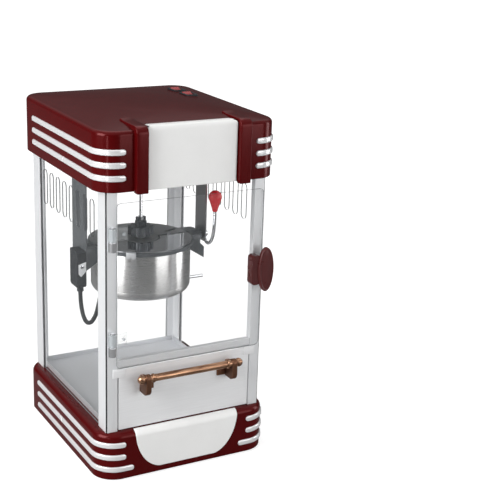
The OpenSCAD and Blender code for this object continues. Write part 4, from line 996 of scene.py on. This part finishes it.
def make_brackets():
    low, high = span("handle_brackets")
    bar_low, bar_high = span("handle_bar")
    bar_y, bar_z = (bar_low.y + bar_high.y) / 2, (bar_low.z + bar_high.z) / 2
    foot_y = high.y
    lug, heel = 6.1, 9
    web_x, foot_x = 62, 52.5
    reach = foot_y - low.y
    parts = []
    for sx in (-1, 1):
        heel_y, heel_z = low.y + heel, bar_z - reach + heel
        outline = [*arc(bar_y, bar_z, lug, 0, 180, 16), *arc(heel_y, heel_z, heel, 180, 270, 12)]
        outline += [(foot_y, bar_z - reach), (foot_y, bar_z - 0.5)]
        parts.append(flat("web", outline, 7, side_plane(sx * web_x), bevel=1.0))
        x = sx * foot_x
        foot = (x - 6.4, foot_y - 2.5, bar_z - reach + 2), (x + 6.4, foot_y, bar_z - 6)
        parts.append(block("foot", *foot, 0.8))
    stand_for(join("handle_bracket_pair", parts), "handle_brackets", BRONZE, sharp=40)


# Screws


def screw_head(name, place, axis, r, h):
    """Domed head with a slot of painted shade, a near-black sheet set into its top; the place is the middle
    of the head's underside.
    """
    rim = h * 0.35
    dome = [radians(a) for a in range(10, 81, 10)]
    profile = [(r, 0), (r, rim), *((r * cos(a), rim + (h - rim) * sin(a)) for a in dome)]
    head = lathe("head", profile, place, axis, 32)
    side = axis.orthogonal().normalized()
    half_l, half_w = r * 0.6, r * 0.11
    outline = rectangle(-half_l, -half_w, half_l, half_w)
    middle = Vector(place) + axis * (h - 0.46)
    slot = flat("slot", outline, 1.0, plane(middle, side, axis.cross(side)), bevel=0.05)
    for face in slot.data.polygons:
        face.material_index = 1
    return join(name, [head, slot])


# Copies of CAD solids with broken edges


def round_edges(*entries):
    """CAD solids' own shapes with flat faces whole and edges rounded, from (node, material, bevel)."""
    for node, material, bevel in entries:
        work = bmesh.new()
        work.from_mesh(frame["nodes"][node].data)
        bmesh.ops.remove_doubles(work, verts=work.verts, dist=1e-6)
        bmesh.ops.dissolve_limit(work, angle_limit=radians(0.6), verts=work.verts, edges=work.edges)
        mesh = bpy.data.meshes.new(node + "_rounded")
        work.to_mesh(mesh)
        work.free()
        piece = new_object(node + "_rounded", mesh)
        stand_for(piece, node, material, bevel)
        piece.modifiers["rounding"].segments = 2


# Kettle

TILT_Y, TILT_Z = 13, 270
LID_R = 73.9
LEAD_R = 2.8
LEAD_ROUTE = [(-12, 226), (-12, 219), (-13, 208), (-16, 197), (-22, 188), (-31, 183), (-41, 184)]
LEAD_ROUTE += [(-51, 189), (-60, 197), (-68, 207), (-75, 220), (-82, 236), (-87, 256), (-91, 280)]
LEAD_ROUTE += [(-93, 305), (-94, 330), (-94, 355), (-94, 380), (-94, 398)]


def make_pot():
    low, high = span("kettle_pot")
    r = (high.x - low.x) / 2
    bottom, top = low.z, high.z
    outer = [(TIP, bottom + 0.6), (r - 24, bottom + 0.6), (r - 22.5, bottom)]
    outer += arc(r - 10, bottom + 10, 10, -90, 0, 10)
    outer += [(r, bottom + 12), (r - 0.35, bottom + 12.4), (r - 0.35, bottom + 13.0), (r, bottom + 13.4)]
    outer += [(r, top - 1.0), (r - 0.4, top - 0.2), (r - 0.9, top)]
    inner = [(r - 1, top - 0.4), (r - 1, bottom + 10)]
    inner += reversed(arc(r - 10, bottom + 10, 9, -90, 0, 8))
    inner += [(TIP, bottom + 1.4)]
    stand_for(lathe("pot_turned", outer + inner, (0, TILT_Y, 0), Z, 160), "kettle_pot", POT_STEEL)


def make_tilt_handle():
    low, high = span("tilt_handle")
    x = (low.x + high.x) / 2
    route = [(0, 0), (-4, -7), (-10, -10.8), (-16, -10.2), (-22, -6), (-26.5, 0), (-29.5, 8)]
    route += [(-31.5, 18), (-32.5, 28), (-32.5, 40)]
    rod_piece = tube("bent_rod", [(x, TILT_Y + y, TILT_Z + z) for y, z in route], 2.25, steps=24, per_span=5)
    length = high.x - low.x
    profile = [(3.1, 0), (4.7, 0), (5.5, 0.7), (5.5, length - 0.7), (4.7, length), (3.1, length)]
    hub = ring_lathe("hub", profile, (low.x, TILT_Y, TILT_Z), X, 48)
    stand_for(join("tilt_handle_rod", [rod_piece, hub]), "tilt_handle", CHROME, sharp=40)


def make_tilt_knob():
    low, high = span("tilt_knob")
    x, y = (low.x + high.x) / 2, (low.y + high.y) / 2
    r = (high.x - low.x) / 2
    length = high.z - low.z
    middle = length - r
    tangent = degrees(acos((r - 3.6) / middle))
    profile = [(TIP, 0), (3.0, 0), (3.6, 0.7), (4.3, 4.0)]
    profile += [*globe(r, range(round(tangent), 180, 8), middle - r), (TIP, length)]
    knob = lathe("red_drop_knob", profile, (x, y, low.z), Z, 64)
    stand_for(knob, "tilt_knob", RED_KNOB, sharp=50)


def make_lead():
    low, high = span("kettle_lead")
    points = [Vector(((low.x + high.x) / 2, y, z)) for y, z in LEAD_ROUTE]
    per_span = 6
    lead = tube("kettle_lead_tube", points, LEAD_R, 20, per_span)
    stand_for(lead, "kettle_lead", LEAD_BLACK, sharp=60)
    path = smooth_path(points, per_span)
    length = sum((b - a).length for a, b in zip(path, path[1:])) * MM


def make_connector():
    round_edges(("kettle_connector", BLACK, 1.2))
    low, high = span("kettle_connector")
    plate = [(low.x + 1.5, high.z - 30), (low.x + 5, high.z - 34), (high.x - 1, high.z - 27)]
    plate += [(high.x - 1, high.z - 14), (low.x + 1.5, high.z - 17)]
    sheet = flat("connector_plate", plate, 0.5, front_plane(low.y - 0.1), bevel=0.15)
    trim(sheet, "kettle_connector", ALUMINIUM)
    section = [(2.9, 0), (4.6, 0), (4.2, 7), (2.9, 7.4)]
    collar = ring_lathe("lead_collar", section, (low.x + 7.5, LEAD_ROUTE[0][0], low.z - 6.5), Z, 40)
    trim(collar, "kettle_connector", BLACK)
    head = screw_head("connector_screw", ((low.x + high.x) / 2, low.y - 0.3, high.z - 20), -Y, 2.8, 1.5)
    trim(head, "kettle_connector", [CHROME, PAINTED_SHADE])


def make_lid_tab():
    """Scalloped front of the lid's finger tab."""
    angle = radians(-124)
    out = Vector((cos(angle), sin(angle), 0))
    across = Vector((-sin(angle), cos(angle), 0))
    start = Vector((0, TILT_Y, 0)) + out * LID_R
    z = TILT_Z
    scallops = [*arc(-3.3, z - 0.6, 3.2, 180, 360, 8), *arc(3.3, z - 0.6, 3.2, 180, 360, 8)]
    outline = [(-6.5, z + 5.2), (-6.5, z - 0.8), *scallops, (6.5, z + 5.2)]
    tab = flat("lid_tab_scallop", outline, 0.8, plane(start, across, Z), bevel=0.2)
    trim(tab, "front_lid", TRAY_STEEL)


def make_kettle():
    make_pot()
    dress(PAN, "cooking_pan", "heater_ring")
    dress(BLACK, "thermostat")
    dress(CHROME, "lid_hinge_pins")
    round_edges(("kettle_rim", CAST, 0.7), ("rear_cover", COVER, 0.3), ("front_lid", MIRROR_STEEL, 0.3))
    make_lid_tab()
    round_edges(("stir_gear", GEAR, 0.5), ("stirrer", CHROME, 0.2), ("kettle_pins", CHROME, 0.35))
    make_tilt_handle()
    make_tilt_knob()
    make_connector()
    make_lead()
    round_edges(("hanger_left", CAST, 0.4), ("hanger_right", STRAP, 0.4))
    round_edges(("hanger_screws", CHROME, 0.3), ("drive_shaft", CHROME, 0.25))


# Lamp, switches and small parts


def make_lamp():
    round_edges(("lamp_socket", BLACK, 0.8))
    low, high = span("lamp_bulb")
    x, y = (low.x + high.x) / 2, (low.y + high.y) / 2
    r = (high.x - low.x) / 2
    h = high.z - low.z
    profile = [(TIP, 0), *globe(r, range(8, 129, 8))]
    profile += [(10.2, 24), (9.7, 27), (9.7, h - 0.5), (9.2, h), (TIP, h)]
    bulb = lathe("lamp_globe", profile, (x, y, low.z), Z, 64)
    stand_for(bulb, "lamp_bulb", BULB, sharp=50)


def make_small_parts():
    round_edges(
        ("rocker_heat", RED_ROCKER, 0.9),
        ("rocker_light", RED_ROCKER, 0.9),
        ("switch_bezels", BLACK, 0.7),
        ("cord_gland", BLACK, 0.8),
        ("rubber_feet", RUBBER, 0.8),
        ("cabin_floor", TRAY_STEEL, 0.3),
        ("front_rail", ALUMINIUM, 0.25),
        ("ceiling_plate", TRAY_STEEL, 0.3),
        ("base_bottom_plate", TRAY_STEEL, 0.3),
        ("plate_screws", CHROME, 0.4),
        ("post_screws", CHROME, 0.4),
        ("handle_screws", BRONZE, 0.3),
        ("gear_motor", CAST, 0.8),
    )
    dress(CHROME, "flap_hinge_pins", "door_hinge_pins", "door_knob_screw", "door_strike")
    dress(BLACK, "door_magnet")


# Making


def make_body():
    make_canopy()
    make_ribs()
    make_front_panel()
    make_stripes("canopy_stripes", CANOPY_CORNER, [(canopy_z + 17.5 + 16 * i, 89) for i in range(3)])
    make_stripes("base_stripes", BASE_CORNER, [(16, 77), (33, 88), (50, 88)])
    make_base()
    make_base_plate()
    for y_name, sy in (("front", -1), ("rear", 1)):
        for x_name, sx in (("left", -1), ("right", 1)):
            make_post(f"post_{y_name}_{x_name}", sx, sy)
    make_side_window("window_left")
    make_side_window("window_right")
    make_rear_window()
    make_door()
    make_hinges()
    make_door_knob()
    make_flap()
    make_handle()
    make_brackets()


make_body()
make_kettle()
make_lamp()
make_small_parts()


# Floor, backdrop and lights

FLOOR_GLOW = 0.74
FLOOR_GLOSS = 0.02
FLOOR_ALBEDO = 0.5
SKY_LIGHT = 0.28
SKY_GLOSS = 0.08


def ray_level(nodes, links, seen, glossy, diffuse):
    """A level for what the camera sees, one for gloss and one for diffuse light."""
    path = nodes.new("ShaderNodeLightPath")
    level = diffuse
    for output, value in (("Is Glossy Ray", glossy), ("Is Transmission Ray", seen), ("Is Camera Ray", seen)):
        mix = nodes.new("ShaderNodeMix")
        links.new(path.outputs[output], mix.inputs["Factor"])
        for socket, number in (("A", level), ("B", value)):
            if isinstance(number, bpy.types.NodeSocket):
                links.new(number, mix.inputs[socket])
            else:
                mix.inputs[socket].default_value = number
        level = mix.outputs["Result"]
    return level


def ease(nodes, links, value, start, end, low, high, kind="LINEAR"):
    """A value from start to end moved to the range from low to high."""
    node = nodes.new("ShaderNodeMapRange")
    node.interpolation_type = kind
    for socket, number in zip(("From Min", "From Max", "To Min", "To Max"), (start, end, low, high)):
        node.inputs[socket].default_value = number
    links.new(value, node.inputs["Value"])
    return node.outputs["Result"]


def make_floor():
    size = 6
    mesh = bpy.data.meshes.new("floor")
    corners = [(x, y, 0) for x, y in rectangle(-size, -size, size, size)]
    mesh.from_pydata(corners, [], [(0, 1, 2, 3)])
    floor = new_object("floor", mesh)
    material = bpy.data.materials.new("floor_paper")
    material.use_nodes = True
    nodes, links = material.node_tree.nodes, material.node_tree.links
    nodes.clear()
    place = nodes.new("ShaderNodeTexCoord")
    distance = nodes.new("ShaderNodeVectorMath")
    distance.operation = "LENGTH"
    links.new(place.outputs["Object"], distance.inputs[0])
    seen = ease(nodes, links, distance.outputs["Value"], 0.4, 1.6, FLOOR_GLOW, 1.0)
    glow = nodes.new("ShaderNodeEmission")
    glow.inputs["Color"].default_value = (1, 1, 1, 1)
    links.new(ray_level(nodes, links, seen, FLOOR_GLOSS, 0), glow.inputs["Strength"])
    paper = nodes.new("ShaderNodeBsdfDiffuse")
    links.new(ray_level(nodes, links, FLOOR_ALBEDO, FLOOR_ALBEDO / 2, FLOOR_ALBEDO), paper.inputs["Color"])
    both = nodes.new("ShaderNodeAddShader")
    links.new(glow.outputs[0], both.inputs[0])
    links.new(paper.outputs[0], both.inputs[1])
    end = nodes.new("ShaderNodeOutputMaterial")
    links.new(both.outputs[0], end.inputs["Surface"])
    floor.data.materials.append(material)


def make_world():
    world = bpy.data.worlds.new("studio")
    bpy.context.scene.world = world
    world.use_nodes = True
    nodes, links = world.node_tree.nodes, world.node_tree.links
    backdrop = nodes["Background"]
    backdrop.inputs["Color"].default_value = (1, 1, 1, 1)
    way = nodes.new("ShaderNodeTexCoord")
    parts = nodes.new("ShaderNodeSeparateXYZ")
    links.new(way.outputs["Generated"], parts.inputs[0])
    glossy = ease(nodes, links, parts.outputs["Z"], 0.2, 0.8, SKY_GLOSS, 1.0, "SMOOTHSTEP")
    links.new(ray_level(nodes, links, 1.0, glossy, SKY_LIGHT), backdrop.inputs["Strength"])


def make_softbox(name, place, aim, size, power):
    data = bpy.data.lights.new(name, "AREA")
    data.shape = "RECTANGLE"
    data.size, data.size_y = size
    data.energy = power
    lamp = new_object(name, data)
    lamp.location = place
    lamp.visible_camera = False
    lamp.rotation_euler = (Vector(aim) - Vector(place)).to_track_quat("-Z", "Y").to_euler()


make_floor()
make_world()
make_softbox("left_box", (-1.7, -0.3, 0.95), (0, 0, 0.25), (1.2, 1.2), 40)
make_softbox("front_box", (1.0, -1.9, 0.65), (0, 0, 0.25), (1.3, 1.1), 13)
make_softbox("corner_strip", (-0.95, -0.9, 0.25), (-0.1, -0.12, 0.25), (0.07, 0.6), 0.9)
make_softbox("right_strip", (1.6, -0.5, 0.4), (0, 0, 0.3), (0.5, 1.3), 9)
make_softbox("top_box", (0.1, 0.3, 1.9), (0, 0, 0.4), (1.2, 1.2), 8)
bpy.context.scene.view_settings.view_transform = "Standard"
